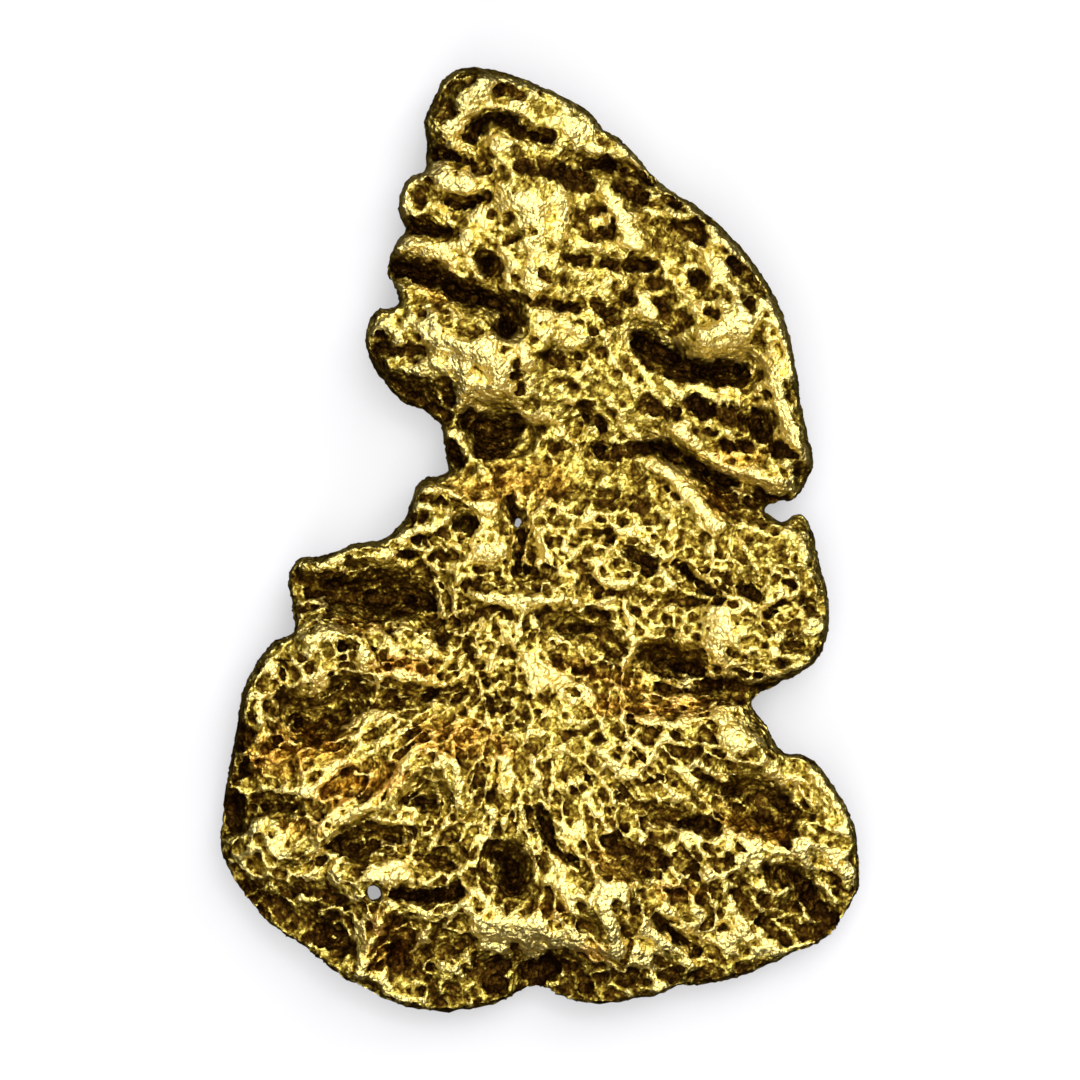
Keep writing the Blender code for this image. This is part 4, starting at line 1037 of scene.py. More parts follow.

# %% [markdown]
# Soil has settled along some stretches, and others are rubbed clean, and the shape alone doesn't say
# which. So these are drawn as rows as well: positive rows are dull with soil and painted shade, as
# along the lower and left rims, and negative ones are bright with painted highlight. They change the
# finish, and the positive rows also fill the finest relief, which comes next.

# %% Soil, rubbed metal and painted light
SOIL_AND_PAINTED_LIGHT = [
    (10, 0.7, (470, 92), (452, 112), (446, 130)),
    (8, 0.6, (430, 150), (455, 158), (470, 165)),
    (14, 1.4, (505, 166), (550, 176), (600, 182), (640, 192)),
    (10, 0.9, (505, 185), (530, 183)),
    (12, 0.7, (530, 312), (540, 330)),
    (12, 0.5, (465, 205), (480, 212)),
    (11, 0.5, (405, 226), (448, 234)),
    (14, 0.5, (470, 196), (490, 204)),
    (14, 0.4, (395, 268), (440, 282), (480, 292)),
    (18, 0.7, (440, 298), (480, 308), (505, 325)),
    (22, 0.9, (372, 350), (398, 390), (435, 405)),
    (14, 0.5, (590, 226), (600, 236)),
    (18, 0.9, (625, 200), (655, 207), (690, 222), (706, 236)),
    (16, 0.8, (655, 240), (672, 262)),
    (14, 0.6, (725, 285), (745, 305)),
    (14, 0.4, (640, 262), (660, 275)),
    (14, 0.5, (655, 315), (645, 335)),
    (16, 0.7, (660, 352), (690, 368), (720, 374)),
    (20, 0.9, (535, 378), (565, 392)),
    (14, 0.5, (600, 355), (620, 375)),
    (15, 1, (625, 360), (640, 377), (690, 392)),
    (12, 0.6, (540, 350), (560, 362)),
    (16, 0.6, (610, 410), (640, 420)),
    (12, 0.5, (725, 392), (755, 400)),
    (22, 0.3, (590, 400), (640, 412), (690, 410)),
    (28, 1.3, (470, 455), (500, 465), (545, 470)),
    (16, 0.8, (555, 500), (600, 505), (650, 508)),
    (24, 1.2, (600, 452), (630, 472), (640, 492)),
    (26, 1.3, (700, 420), (730, 432), (770, 447)),
    (12, 0.5, (770, 455), (745, 448)),
    (13, 0.6, (690, 487), (720, 500), (740, 512)),
    (22, 1.3, (755, 542), (800, 548)),
    (14, 0.6, (725, 572), (745, 580)),
    (14, 0.5, (630, 572), (650, 580)),
    (26, 0.5, (300, 590), (350, 596), (420, 600)),
    (18, 0.9, (495, 562), (525, 575)),
    (14, 0.5, (580, 640), (600, 646)),
    (18, 0.5, (660, 658), (700, 668), (740, 682)),
    (24, 1.3, (236, 700), (230, 740), (222, 790), (215, 840)),
    (24, 1.6, (244, 718), (258, 745)),
    (20, 1.2, (225, 780), (248, 805)),
    (15, 0.9, (280, 755), (320, 760)),
    (18, 0.5, (300, 735), (320, 745)),
    (24, 1, (225, 860), (250, 900), (290, 935), (330, 965)),
    (26, 1.8, (250, 898), (280, 918), (330, 915)),
    (16, 0.8, (300, 935), (345, 965)),
    (12, 0.4, (400, 900), (440, 893)),
    (20, 1, (350, 985), (400, 1003), (450, 1009), (510, 998)),
    (26, 1.6, (385, 958), (420, 975), (450, 990)),
    (26, 1.8, (500, 985), (540, 970), (600, 985)),
    (20, 1, (555, 975), (590, 985)),
    (16, 0.7, (470, 955), (500, 965)),
    (17, 1.6, (600, 993), (660, 985), (735, 966)),
    (18, 1, (740, 965), (790, 950), (830, 925), (850, 890)),
    (22, 1.2, (810, 898), (845, 908)),
    (12, 0.8, (700, 975), (740, 968)),
    (8, -0.4, (735, 955), (760, 950)),
    (18, 0.6, (400, 905), (430, 925)),
    (16, 0.7, (435, 890), (470, 895)),
    (16, 1.1, (462, 855), (478, 872)),
    (18, 0.5, (430, 845), (455, 858)),
    (18, 1.1, (512, 892), (552, 902)),
    (18, 1.1, (620, 845), (665, 852), (695, 842)),
    (14, 1.3, (575, 735), (612, 746)),
    (16, 0.7, (762, 902), (790, 915)),
    (12, 0.5, (640, 862), (690, 868)),
    (16, 0.5, (340, 935), (360, 950)),
    (24, 0.5, (735, 800), (770, 812), (790, 830)),
    (12, 0.4, (480, 505), (485, 490)),
    (12, -1.3, (400, 195), (404, 212)),
    (12, -1.2, (405, 190), (432, 175)),
    (12, -1.2, (400, 240), (430, 248), (460, 244)),
    (10, -1.2, (396, 250), (412, 244)),
    (24, -0.9, (548, 214), (538, 245), (525, 275)),
    (12, -0.9, (450, 185), (475, 190)),
    (24, -1.2, (440, 350), (470, 368), (500, 378)),
    (14, -0.9, (468, 385), (470, 400)),
    (12, -0.6, (500, 345), (520, 350)),
    (14, -0.6, (545, 320), (560, 335)),
    (11, -1.3, (605, 125), (640, 152), (670, 180)),
    (16, -1, (705, 345), (740, 340), (765, 355)),
    (8, -0.8, (775, 330), (790, 370), (797, 410), (806, 450)),
    (12, -1.2, (682, 438), (720, 467), (785, 484)),
    (12, -1.1, (655, 462), (680, 480), (700, 510)),
    (12, -0.6, (635, 225), (620, 240)),
    (10, -1.2, (822, 565), (826, 600), (820, 640)),
    (18, -0.6, (730, 605), (715, 640)),
    (14, -0.5, (520, 600), (530, 615)),
    (20, -0.6, (530, 680), (570, 700)),
    (18, -0.5, (420, 645), (380, 655)),
    (12, -0.6, (330, 636), (290, 640)),
    (13, -1.3, (400, 775), (428, 752), (458, 778)),
    (16, -0.9, (405, 792), (440, 788)),
    (14, -0.7, (390, 800), (400, 815)),
    (30, -0.6, (560, 735), (610, 760), (640, 780)),
    (22, -0.7, (700, 725), (730, 735)),
    (18, -1.3, (722, 768), (770, 778), (810, 790), (835, 820)),
    (12, -0.9, (715, 800), (725, 815)),
    (14, -0.9, (460, 810), (480, 825)),
    (10, -0.8, (650, 870), (660, 875)),
    (9, -0.8, (335, 875), (345, 885)),
    (16, -0.6, (680, 790), (710, 800)),
    (20, -1.4, (480, 920), (520, 930), (575, 938), (610, 955)),
    (14, -0.8, (600, 905), (620, 930)),
    (20, -1, (630, 925), (690, 950), (750, 938)),
    (18, -1.2, (790, 850), (835, 862)),
    (8, -0.7, (845, 830), (850, 860)),
    (11, -0.9, (265, 828), (300, 840), (335, 862)),
    (13, -1.2, (248, 862), (280, 872), (325, 872)),
    (12, -0.7, (385, 870), (400, 865)),
    (9, -0.9, (330, 815), (360, 805)),
    (9, -0.9, (402, 190), (408, 235)),
    (12, -0.7, (622, 150), (640, 170)),
    (12, -0.7, (688, 350), (710, 362)),
    (12, -0.8, (765, 405), (782, 425)),
    (12, -0.7, (682, 430), (695, 445)),
    (10, -0.6, (452, 508), (465, 520)),
    (10, -0.8, (512, 535), (525, 548)),
    (13, -0.7, (315, 658), (345, 668)),
    (12, -0.7, (238, 868), (255, 880)),
    (12, -0.7, (525, 928), (550, 938)),
    (12, -0.7, (640, 955), (665, 970)),
    (10, -0.6, (740, 662), (790, 668)),
    (14, -0.5, (515, 775), (540, 790)),
    (14, -0.5, (392, 735), (410, 760)),
    (14, 0.5, (520, 190), (540, 200)),
    (13, 0.6, (600, 385), (625, 400)),
    (12, 0.7, (668, 248), (680, 262)),
    (10, 0.5, (505, 325), (520, 345)),
    (10, 0.6, (720, 448), (735, 455)),
    (12, 0.5, (565, 450), (575, 470)),
    (9, 0.8, (590, 995), (620, 1000)),
    (9, 0.8, (845, 895), (855, 870)),
    (14, 0.7, (250, 905), (285, 935)),
    (12, 0.5, (330, 575), (350, 590)),
    (10, -0.6, (400, 172), (412, 180)),
    (9, -0.5, (398, 225), (402, 245)),
    (10, -0.5, (625, 150), (642, 168)),
    (12, -0.6, (692, 350), (722, 366)),
    (10, -0.5, (774, 405), (792, 440)),
    (9, -0.6, (415, 492), (428, 500)),
    (12, -0.4, (320, 660), (345, 662)),
    (12, -0.5, (440, 812), (462, 825)),
    (12, -0.4, (485, 750), (490, 775)),
    (12, -0.4, (735, 655), (770, 662)),
    (12, -0.5, (590, 850), (605, 875)),
    (12, 0.7, (500, 128), (512, 142)),
    (10, 0.6, (536, 305), (545, 315)),
    (12, 0.5, (590, 385), (605, 395)),
    (10, 0.7, (712, 438), (725, 450)),
    (9, 0.7, (696, 505), (712, 515)),
    (12, 0.5, (480, 468), (495, 480)),
    (12, 0.5, (412, 910), (425, 922)),
    (12, 0.5, (278, 915), (305, 935)),
    (9, 0.6, (590, 985), (610, 992)),
]
SOIL_AND_PAINTED_LIGHT_SPREAD = 1.3
SOIL_AND_PAINTED_LIGHT_BEND = 0.12
SOIL_AND_PAINTED_LIGHT_BEND_SIZE = 0.5
soil_and_painted_light = np.zeros(len(points))
xy = points[:, :2] + SOIL_AND_PAINTED_LIGHT_BEND * np.column_stack([noise_at(points, SOIL_AND_PAINTED_LIGHT_BEND_SIZE, seed)
                                                  for seed in (21, 22)])
# Positive rows: soil with painted shade; negative rows: painted highlight on rubbed metal.
for row in SOIL_AND_PAINTED_LIGHT:
    path, reach, strength = in_mm(*row)
    share = np.clip(distance_to_path(xy, path) / (SOIL_AND_PAINTED_LIGHT_SPREAD * reach), 0, 1)
    soil_and_painted_light += strength * (1 - share ** 2) ** 2
soil_and_painted_light *= upper
# The positive part: soil and painted shade, which also fills the finest relief.
soil_and_painted_shade = np.clip(soil_and_painted_light, 0, 1)
print("share of points in soil:", round(float((soil_and_painted_light > 0.3).mean()), 2))

# %% [markdown]
# The lower half carries fine raised threads, the edges of crystals that rolling has bent over.
# Smooth noise passes through zero along thin wandering lines, so a thread is drawn wherever
# its size is under a small width. Over the foot the threads spread from one place like a fan.
# The same noise does that too, when it is read by the angle about that place and the distance
# from it, with the distance squeezed so that the threads come out long.

# %% Threads of bent crystal
FAN_CENTRE = (-0.3, -3.0)
FAN_RADIUS = 5.0
FAN_STRETCH = 3.0
FAN_GAIN = 0.8
FAN_START = 1.95
FAN_FADE = 1.5
LOWER_HALF_TOP = 2
LOWER_HALF_FADE = 2
SOIL_AND_SHADE_ON_THREADS = 0.7
THREAD_SPACING = 0.30
THREAD_WIDTH = 0.15
THREAD_HEIGHT = 0.085
across = points[:, 0] - FAN_CENTRE[0]
down = FAN_CENTRE[1] - points[:, 1]
radius = np.hypot(across, down)
fan = np.column_stack([np.arctan2(across, down) * FAN_RADIUS, radius / FAN_STRETCH, points[:, 2]])
plain_noise = np.abs(noise_at(points, THREAD_SPACING, 11))
fan_noise = np.abs(noise_at(fan, THREAD_SPACING, 12))
in_fan = np.clip((radius - FAN_START) / FAN_FADE, 0, 1) * (down > 0)
threads = np.clip(1 - (plain_noise + (fan_noise - plain_noise) * in_fan) / THREAD_WIDTH, -1, 1)
lower_half = np.clip((LOWER_HALF_TOP - points[:, 1]) / LOWER_HALF_FADE, 0, 1)
thread_height = THREAD_HEIGHT * (1 + FAN_GAIN * in_fan) * lower_half
thread_height *= 1 - SOIL_AND_SHADE_ON_THREADS * soil_and_painted_shade
print("share of points on threads:", round(float(((threads > 0) & (lower_half > 0.5)).mean()), 2))

# %% [markdown]
# Worn gold breaks into small flat-topped plateaus with steep, ragged edges, not into soft
# hills. So strokes and threads are added up, roughened by noise, and pressed through tanh,
# which is flat at both ends and steep between them. A share of the smooth lift stays as well,
# so that wide forms still swell. Each row of JAGS is a noise: its depth, the share of the
# lift that it adds, and its size.

# %% Plateaus with ragged edges
JAGS = [(0.09, 0.45, 0.30), (0.07, 0.35, 0.13)]
PLATEAU_HEIGHT = 0.085
EDGE_SOFTNESS = 0.07
LIFT_SHARE = 0.40
SOIL_AND_SHADE_ON_JAGS = 0.6
broken = lift + thread_height * threads
for seed, (depth, share, size) in enumerate(JAGS, start=5):
    amount = depth * (1 - SOIL_AND_SHADE_ON_JAGS * soil_and_painted_shade) + share * np.abs(lift)
    broken += amount * noise_at(points, size, seed)
plateau = np.tanh(broken / EDGE_SOFTNESS)
points[:, 2] += (LIFT_SHARE * lift + PLATEAU_HEIGHT * plateau) * upper
write_points(nugget, points)
print("share of points on plateaus:", round(float((plateau > 0.5).mean()), 2))

# %% [markdown]
# No thin fin stands long on metal that rolls with gravel. Where a point rises past a limit
# above the blurred height around it, only a share of what is past the limit stays. The blur
# counts the upper side alone, or the low sides would make every rim look like a fin.

# %% Fins worn down
FIN_LIMIT = 0.16
FIN_KEPT = 0.25
FIN_PASSES = 300
weight = upper + WELD
around = (neighbour_mean(nugget, points[:, 2] * weight, FIN_PASSES)
          / neighbour_mean(nugget, weight, FIN_PASSES))
past = np.maximum(points[:, 2] - around - FIN_LIMIT, 0) * upper
points[:, 2] -= (1 - FIN_KEPT) * past
write_points(nugget, points)
print("most taken off:", round(float(((1 - FIN_KEPT) * past).max()), 2), "mm")

# %% [markdown]
# Between the strokes the metal is grainy: rounded crystals and fine crumbs. These have no
# places of their own, so procedural textures make them, by Displace modifiers that act along
# the normals. Vertex groups weaken them on the plateaus, which are rubbed smoother, and keep
# the finer lace to the lower half. Last, nothing is left below the surface that it rests on.

# %% Procedural relief
GROUP_STEPS = 20
RUBBED_SMOOTH = 0.45
UNDERSIDE_SHARE = 0.5
LACE_TOP = 3


def set_group(piece, name, weights):
    """Store a weight for each point as a vertex group, which modifiers can use as a mask."""
    group = piece.vertex_groups.new(name=name)
    steps = np.round(np.clip(weights, 0, 1) * GROUP_STEPS).astype(int)
    for step in range(1, GROUP_STEPS + 1):
        members = np.flatnonzero(steps == step)
        if len(members):
            group.add(members.tolist(), step / GROUP_STEPS, "REPLACE")


def relief(name, kind, size, depth, middle=0.5, group="everywhere", **settings):
    """Push the surface in and out by a procedural pattern of the given size and depth, in mm."""
    texture = bpy.data.textures.new(name, kind)
    texture.noise_scale = size
    for key, value in settings.items():
        setattr(texture, key, value)
    add_modifier(nugget, "DISPLACE", texture=texture, texture_coords="LOCAL", strength=depth,
                 mid_level=middle, vertex_group=group, direction="NORMAL")


everywhere = UNDERSIDE_SHARE + (1 - UNDERSIDE_SHARE) * upper
set_group(nugget, "everywhere", everywhere * (1 - RUBBED_SMOOTH * np.clip(plateau, 0, 1) * upper))
lace_share = np.clip((LACE_TOP - points[:, 1]) / LOWER_HALF_FADE, 0, 1)
set_group(nugget, "lower half", everywhere * lace_share)
relief("lumps", "VORONOI", 0.40, -0.12, middle=0.3, distance_metric="DISTANCE_SQUARED")
relief("lace", "VORONOI", 0.24, -0.03, middle=0.2, group="lower half", weight_1=-1, weight_2=1)
relief("crumbs", "VORONOI", 0.19, -0.06, middle=0.3, distance_metric="DISTANCE")
relief("chips", "DISTORTED_NOISE", 0.20, 0.05, noise_distortion="VORONOI_CRACKLE", distortion=0.6)
relief("grit", "CLOUDS", 0.10, 0.07, noise_depth=2)
points = read_points(nugget)
points[:, 2] = np.maximum(points[:, 2], 0)
write_points(nugget, points)
print("height after the relief:", round(float(points[:, 2].max()), 2), "mm")

# %% [markdown]
# Soil and tarnish stay where water and rubbing can't reach, and the colour adds painted shade in the
# same places. A point is darkened when it lies lower than the blurred height around it, at three
# widths, when it is on a steep slope or near the edge, or when it was dug; on slopes and at the edge
# this is painted shade alone. Crests and plateaus are the opposite, lightened as painted highlight,
# and the soil rows add their share too. Each tells a share, the shares are added, and the sum is kept
# as an attribute for the material to read.

# %% Painted shade and soil


def store(piece, name, values):
    """Keep a value for each point as an attribute that the material reads."""
    attribute = piece.data.attributes.new(name, "FLOAT", "POINT")
    attribute.data.foreach_set("value", np.clip(values, 0, 1).astype(np.float32))


MIDDLE_TONE = 0.455
BLUR_PASSES = (5, 20, 110)
STEEP_PASSES = 3
MOST_STEEP = 0.8
EDGE_PASSES = 60
MOST_SOIL_AND_SHADE = 1.8
MOST_RUBBED_AND_HIGHLIGHT = 1.4
height = points[:, 2]
# Lower than the blurred height around: painted shade in recesses.
fine, near, far = [neighbour_mean(nugget, height, passes) - height for passes in BLUR_PASSES]
# Steep slopes: painted shade.
slope_shade = np.clip(1 - neighbour_mean(nugget, read_normals(nugget)[:, 2], STEEP_PASSES), 0, MOST_STEEP)
# Near the outer edge: painted shade.
edge_shade = neighbour_mean(nugget, 1 - upper, EDGE_PASSES)
# Painted shade from recesses, slopes, the edge and dug strokes; painted highlight from crests and
# plateaus; soil with painted shade and highlight from the rows.
tone_shares = [(3.0, fine), (0.75, near), (0.25, far), (0.15, slope_shade), (0.16, edge_shade),
               (0.06, dug * upper), (-0.05, crest), (-0.16, plateau * upper),
               (0.15, np.clip(soil_and_painted_light, 0, MOST_SOIL_AND_SHADE)), (0.12, np.clip(soil_and_painted_light, -MOST_RUBBED_AND_HIGHLIGHT, 0))]
tone_with_painted_light = MIDDLE_TONE + sum(share * value for share, value in tone_shares)
print("hollow percentiles", np.percentile(tone_with_painted_light, [5, 25, 50, 75, 95]).round(2))

# %% [markdown]
# Even the dark places aren't evenly dark. Thin lines of noise take some of the darkness away again,
# as painted glints of light on small crumbs of clean metal, and less so under soil and painted shade.

# %% Painted glints in the dark places
GLINT_SIZE = 0.22
GLINT_WIDTH = 0.09
PAINTED_GLINT = 0.16
DARK_FROM = 0.55
DARK_FADE = 0.15
SOIL_AND_SHADE_ON_GLINTS = 0.7
painted_glint = np.clip(1 - np.abs(noise_at(points, GLINT_SIZE, 13)) / GLINT_WIDTH, 0, 1)
in_dark = np.clip((tone_with_painted_light - DARK_FROM) / DARK_FADE, 0, 1)
# Painted glints: thin noise lines lighten the colour in the dark places.
tone_with_painted_light -= PAINTED_GLINT * painted_glint * in_dark * (1 - SOIL_AND_SHADE_ON_GLINTS * soil_and_painted_shade)
store(nugget, "tone_with_painted_light", tone_with_painted_light)
print("share of points with a glint:", round(float(((painted_glint > 0.5) & (tone_with_painted_light > DARK_FROM)).mean()), 3))

# %% [markdown]
# Iron from the gravel stains some stretches a warmer, duller gold. They are colour and not
# relief, so they are an attribute too, with soft and broken edges.

# %% Iron stain
STAINS = [
    (30, 1, (265, 755), (300, 750), (325, 745)),
    (22, 1, (335, 790), (360, 780), (390, 775)),
    (24, 0.9, (430, 735), (460, 740), (480, 735)),
    (24, 0.8, (505, 478), (530, 485), (555, 480)),
    (16, 0.6, (460, 485), (495, 495)),
    (14, 0.8, (590, 704), (640, 706), (700, 704)),
    (11, 1, (380, 664), (405, 664), (432, 668)),
    (12, 0.8, (288, 826), (315, 830)),
    (10, 0.8, (540, 908), (560, 912)),
    (22, 0.9, (385, 925), (400, 945), (380, 955)),
    (14, 0.8, (730, 822), (755, 828), (780, 835)),
    (12, 0.7, (560, 662), (600, 676), (640, 690)),
    (10, 0.7, (660, 890), (700, 892)),
    (10, 0.8, (422, 288), (445, 300)),
    (10, 0.8, (720, 455), (755, 458)),
    (12, 0.8, (708, 492), (722, 510)),
    (12, 0.8, (490, 740), (510, 748)),
    (12, 0.8, (585, 950), (600, 955)),
    (8, 0.8, (340, 622), (380, 628)),
    (12, 0.6, (600, 855), (625, 880)),
]
STAIN_BREAKUP = 0.25
STAIN_COVER = 0.75
stain = np.zeros(len(points))
for row in STAINS:
    path, reach, strength = in_mm(*row)
    share = np.clip(distance_to_path(points[:, :2], path) / reach, 0, 1)
    stain = np.maximum(stain, strength * (1 - share ** 2))
stain *= np.clip(STAIN_COVER + noise_at(points, STAIN_BREAKUP, 4), 0, 1) * upper
store(nugget, "stain", stain)
print("stained share:", round(float((stain > 0.3).mean()), 3))

# %% [markdown]
# The steps so far needed even squares, but the finished piece needn't have so many. Decimate
# merges points where the surface is flattest and leaves the broken edges their detail, and the
# attributes are blended as it goes. The count is kept under 200,000 triangles, so that the part
# stays easy to load.

# %% Fewer triangles
MOST_TRIANGLES = 194000
triangle_count = sum(len(polygon.vertices) - 2 for polygon in nugget.data.polygons)
add_modifier(nugget, "DECIMATE", ratio=MOST_TRIANGLES / triangle_count)
finished_count = sum(len(polygon.vertices) - 2 for polygon in nugget.data.polygons)
print("triangles:", triangle_count, "to", finished_count)

# %% [markdown]
# A metal has no colour under its shine: it tints what it reflects. So the shader is to be fully
# metallic, and its base colour is that tint, read from a ramp by the value that carries soil and
# painted light: pale yellow with painted highlight where rubbed, ochre with painted shade on slopes,
# dark brown where soil and painted shade lie. These helpers keep the node code short.

# %% Helpers for the material


def srgb(code):
    """Turn an sRGB hex colour into the linear values that Blender's sockets take."""
    values = [int(code[i:i + 2], 16) / 255 for i in (1, 3, 5)]
    linear = [v / 12.92 if v <= 0.04045 else ((v + 0.055) / 1.055) ** 2.4 for v in values]
    return (*linear, 1.0)


def node(tree, kind, links=(), **settings):
    """Add a node with its settings, and link sockets into it: (input, from node, output)."""
    made = tree.nodes.new(kind)
    for key, value in settings.items():
        if key in made.inputs:
            made.inputs[key].default_value = value
        else:
            setattr(made, key, value)
    for target, source, output in links:
        tree.links.new(source.outputs[output], made.inputs[target])
    return made


def set_ramp(ramp, stops):
    """Give a Color Ramp its stops: (position, colour)."""
    elements = ramp.color_ramp.elements
    while len(elements) < len(stops):
        elements.new(0.5)
    for element, (position, colour) in zip(elements, stops):
        element.position = position
        element.color = colour


def grey(value):
    """Give a grey of a linear value, for a ramp that drives a number."""
    return (value, value, value, 1.0)


# %% [markdown]
# Close up, native gold is a crust of small crystals about a fifth of a millimetre across, with
# creases between them, which are drawn as painted shade. A Voronoi pattern gives both: the distance
# from a cell's centre darkens its border through the ramp, as painted shade in the creases, and
# drives a bump that rounds the crystal. A much finer noise bump frosts the crystals, which breaks
# each reflection into a sparkle. Sizes here are in millimetres, and a pattern's scale is one over its
# size in metres.

# %% Native gold
GRAIN = 0.2
FROST = 0.0625
GRAIN_SHADE = 0.30
GRAIN_MIDDLE = 0.29
material = bpy.data.materials.new("native_gold")
material.use_nodes = True
tree = material.node_tree
shader = tree.nodes["Principled BSDF"]
shader.inputs["Metallic"].default_value = 1.0
tone_with_painted_light_node = node(tree, "ShaderNodeAttribute", attribute_name="tone_with_painted_light")
place = node(tree, "ShaderNodeTexCoord")
# Crystal faces: a cell pattern sized in the object's own metres.
grains = node(tree, "ShaderNodeTexVoronoi", Scale=1 / (GRAIN * MM), Detail=1.5, Roughness=0.6,
              links=[("Vector", place, "Object")])
# Painted shade in the creases between crystals.
creased = node(tree, "ShaderNodeMath", operation="MULTIPLY_ADD",
               links=[(0, grains, "Distance"), (2, tone_with_painted_light_node, "Fac")])
creased.inputs[1].default_value = GRAIN_SHADE
shaded = node(tree, "ShaderNodeMath", operation="SUBTRACT", links=[(0, creased, 0)])
shaded.inputs[1].default_value = GRAIN_MIDDLE
# Colour: rubbed gold with painted highlight, plain gold, tarnish and painted shade, soil and painted
# shade in hollows, and the black-brown painted shade of deep pits.
colour_ramp = node(tree, "ShaderNodeValToRGB", links=[("Fac", shaded, 0)])
set_ramp(colour_ramp, [(0.34, srgb("#F6E08A")), (0.47, srgb("#E0CB66")), (0.62, srgb("#927C2C")),
                       (0.80, srgb("#4A320C")), (1.0, srgb("#1E0F03"))])
# Iron stain: multiplies the gold towards a warm orange.
stain_node = node(tree, "ShaderNodeAttribute", attribute_name="stain")
stained = node(tree, "ShaderNodeMix", data_type="RGBA", blend_type="MULTIPLY",
               links=[(0, stain_node, "Fac"), (6, colour_ramp, "Color")])
stained.inputs[7].default_value = srgb("#F6CFA0")
tree.links.new(stained.outputs[2], shader.inputs["Base Color"])
# Gloss: rubbed metal shines, soil and the places with painted shade are dull.
rough_ramp = node(tree, "ShaderNodeValToRGB", links=[("Fac", tone_with_painted_light_node, "Fac")])
set_ramp(rough_ramp, [(0.34, grey(0.32)), (0.60, grey(0.37)), (0.86, grey(0.50))])
tree.links.new(rough_ramp.outputs["Color"], shader.inputs["Roughness"])
# Bumps: frost first, then the rounding of the crystals over it. Real frost is finer still, so
# it is drawn as coarse as it needs to be to show at all.
frost = node(tree, "ShaderNodeTexNoise", Scale=1 / (FROST * MM), Detail=3.0, Roughness=0.7,
             links=[("Vector", place, "Object")])
frost_bump = node(tree, "ShaderNodeBump", Strength=1.0, Distance=0.02 * MM,
                  links=[("Height", frost, "Fac")])
bump = node(tree, "ShaderNodeBump", Strength=1.0, Distance=0.06 * MM, invert=True,
            links=[("Height", grains, "Distance"), ("Normal", frost_bump, "Normal")])
tree.links.new(bump.outputs["Normal"], shader.inputs["Normal"])
print("native_gold has", len(tree.nodes), "nodes")

# %% [markdown]
# The finished mesh is smooth-shaded, so its triangles don't show, and goes back to metres. It
# belongs to the part's one body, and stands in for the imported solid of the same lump.

# %% Finish the nugget and put it in the frame
nugget.data.materials.clear()
nugget.data.materials.append(material)
only(nugget)
bpy.ops.object.shade_smooth()
nugget.vertex_groups.clear()
scaled(nugget, MM)
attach(nugget, "root")
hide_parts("nugget")
print("finished nugget:", len(nugget.data.polygons), "faces")

# %% [markdown]
# The floor is plain matt paper. It is a mid grey that the lights bring up to white, so that the
# nugget's soft shadow still shows on it. A little glow of its own keeps the paper pale where it
# is seen through the small hole in the foot, where hardly any light gets in. It is hidden from
# reflections, so the metal's sides stay dark against it.

# %% Floor
FLOOR_SIZE = 3.0
PAPER_GLOW = 0.40
bpy.ops.mesh.primitive_plane_add(size=FLOOR_SIZE, location=(0, 0, 0))
floor = bpy.context.object
floor.name = "floor"
paper = bpy.data.materials.new("matt_paper")
paper.use_nodes = True
paper_shader = paper.node_tree.nodes["Principled BSDF"]
paper_shader.inputs["Base Color"].default_value = srgb("#9E9EA1")
paper_shader.inputs["Emission Color"].default_value = (1, 1, 1, 1)
paper_shader.inputs["Emission Strength"].default_value = PAPER_GLOW
paper_shader.inputs["Roughness"].default_value = 0.9
paper_shader.inputs["Specular IOR Level"].default_value = 0.0
floor.data.materials.append(paper)
floor.visible_glossy = False
print("floor:", FLOOR_SIZE, "m square")

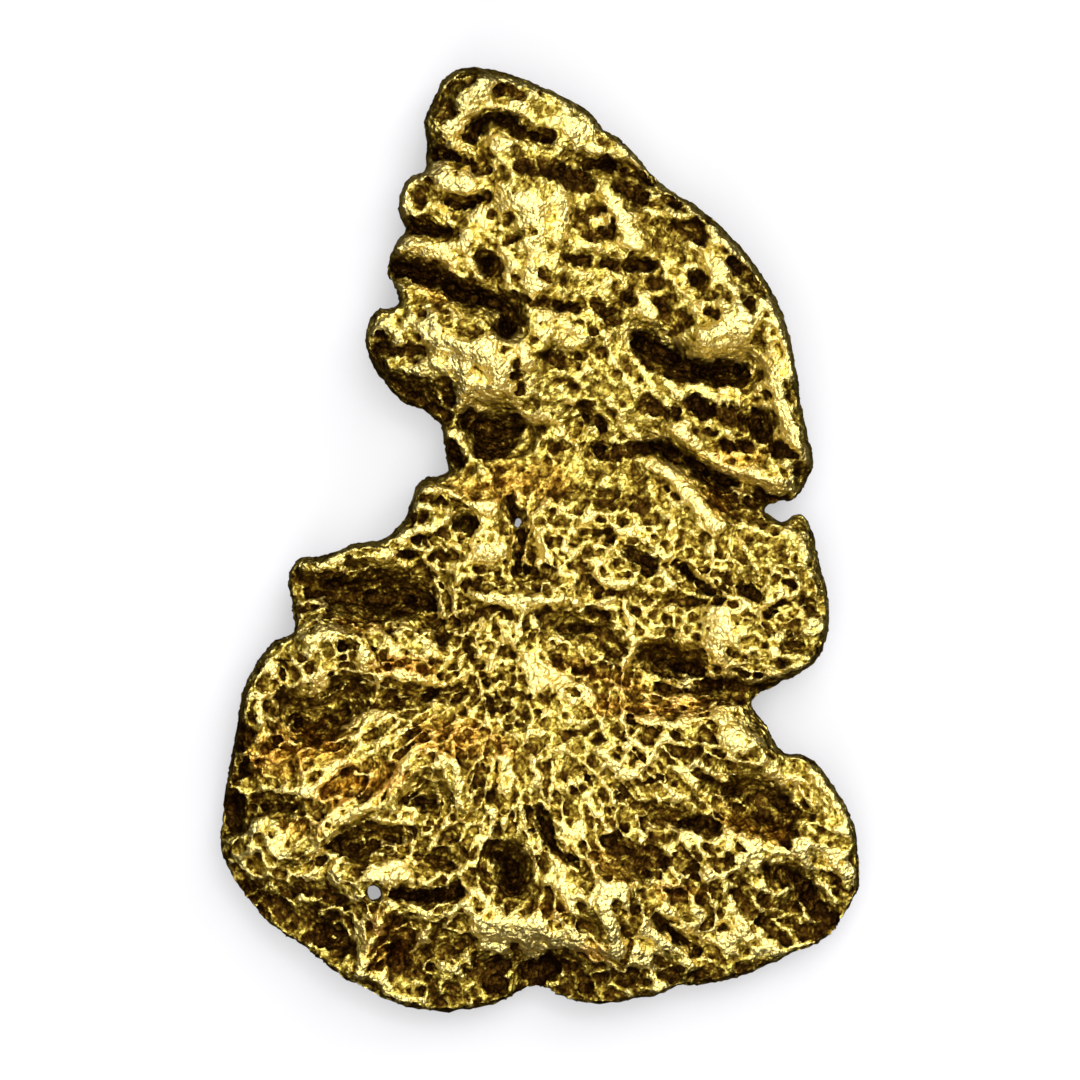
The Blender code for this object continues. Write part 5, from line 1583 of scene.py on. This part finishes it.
# %% [markdown]
# Metal mirrors its lamps, so a nugget needs large soft ones. A panel overhead and a second one
# beside it light the plateaus, a panel at the foot end fills the slopes that face it, and three
# low panels around the sides draw the rims. A lamp's power is given as the brightness of its
# face, so its size can change without changing how bright its reflection is. A dim warm world
# keeps the deepest places from going black.

# %% Light
DIM_WORLD = 0.07
world = bpy.data.worlds.new("studio")
scene.world = world
world.use_nodes = True
background = world.node_tree.nodes["Background"]
background.inputs["Color"].default_value = srgb("#CBB381")
background.inputs["Strength"].default_value = DIM_WORLD


def softbox(name, tilt, turn, distance, size, radiance):
    """Add a square area light aimed at the nugget, tilted from overhead and turned from +Y."""
    data = bpy.data.lights.new(name, "AREA")
    data.size = size
    data.energy = radiance * math.pi * size ** 2
    lean = math.radians(tilt)
    swing = math.radians(turn)
    place = (distance * math.sin(lean) * math.sin(swing), distance * math.sin(lean) * math.cos(swing),
             distance * math.cos(lean))
    lamp = bpy.data.objects.new(name, data)
    lamp.location = place
    scene.collection.objects.link(lamp)
    lamp.rotation_mode = "QUATERNION"
    lamp.rotation_quaternion = lamp.location.to_track_quat("Z", "Y")
    return lamp


softbox("overhead_light", 4, 20, 0.55, 0.50, 4.4)
softbox("key_light", 40, 30, 0.55, 0.42, 4.4)
softbox("fill_light", 38, 190, 0.55, 0.34, 3.4)
for turn, radiance in [(60, 3.4), (180, 0.5), (300, 2.8)]:
    softbox(f"rim_light_{turn}", 66, turn, 0.5, 0.22, radiance)

# %% [markdown]
# The camera looks straight down from 40 cm, far enough that the lump's height doesn't swell
# its outline. The lens follows from that height and from the width that the frame should cover
# at the middle of the nugget's thickness.

# %% Camera
CAMERA_HEIGHT = 0.40
FRAME_WIDTH = 0.027
HALF_THICKNESS = 0.0012
SENSOR = 36
camera_data = bpy.data.cameras.new("camera")
camera_data.sensor_width = SENSOR
camera_data.lens = SENSOR * (CAMERA_HEIGHT - HALF_THICKNESS) / FRAME_WIDTH
camera_data.clip_start = 0.01
camera_data.clip_end = 10
camera = bpy.data.objects.new("camera", camera_data)
camera.location = (0, 0, CAMERA_HEIGHT)
scene.collection.objects.link(camera)
scene.camera = camera
scene.view_settings.view_transform = "Standard"
print("lens:", round(camera_data.lens, 1), "mm")
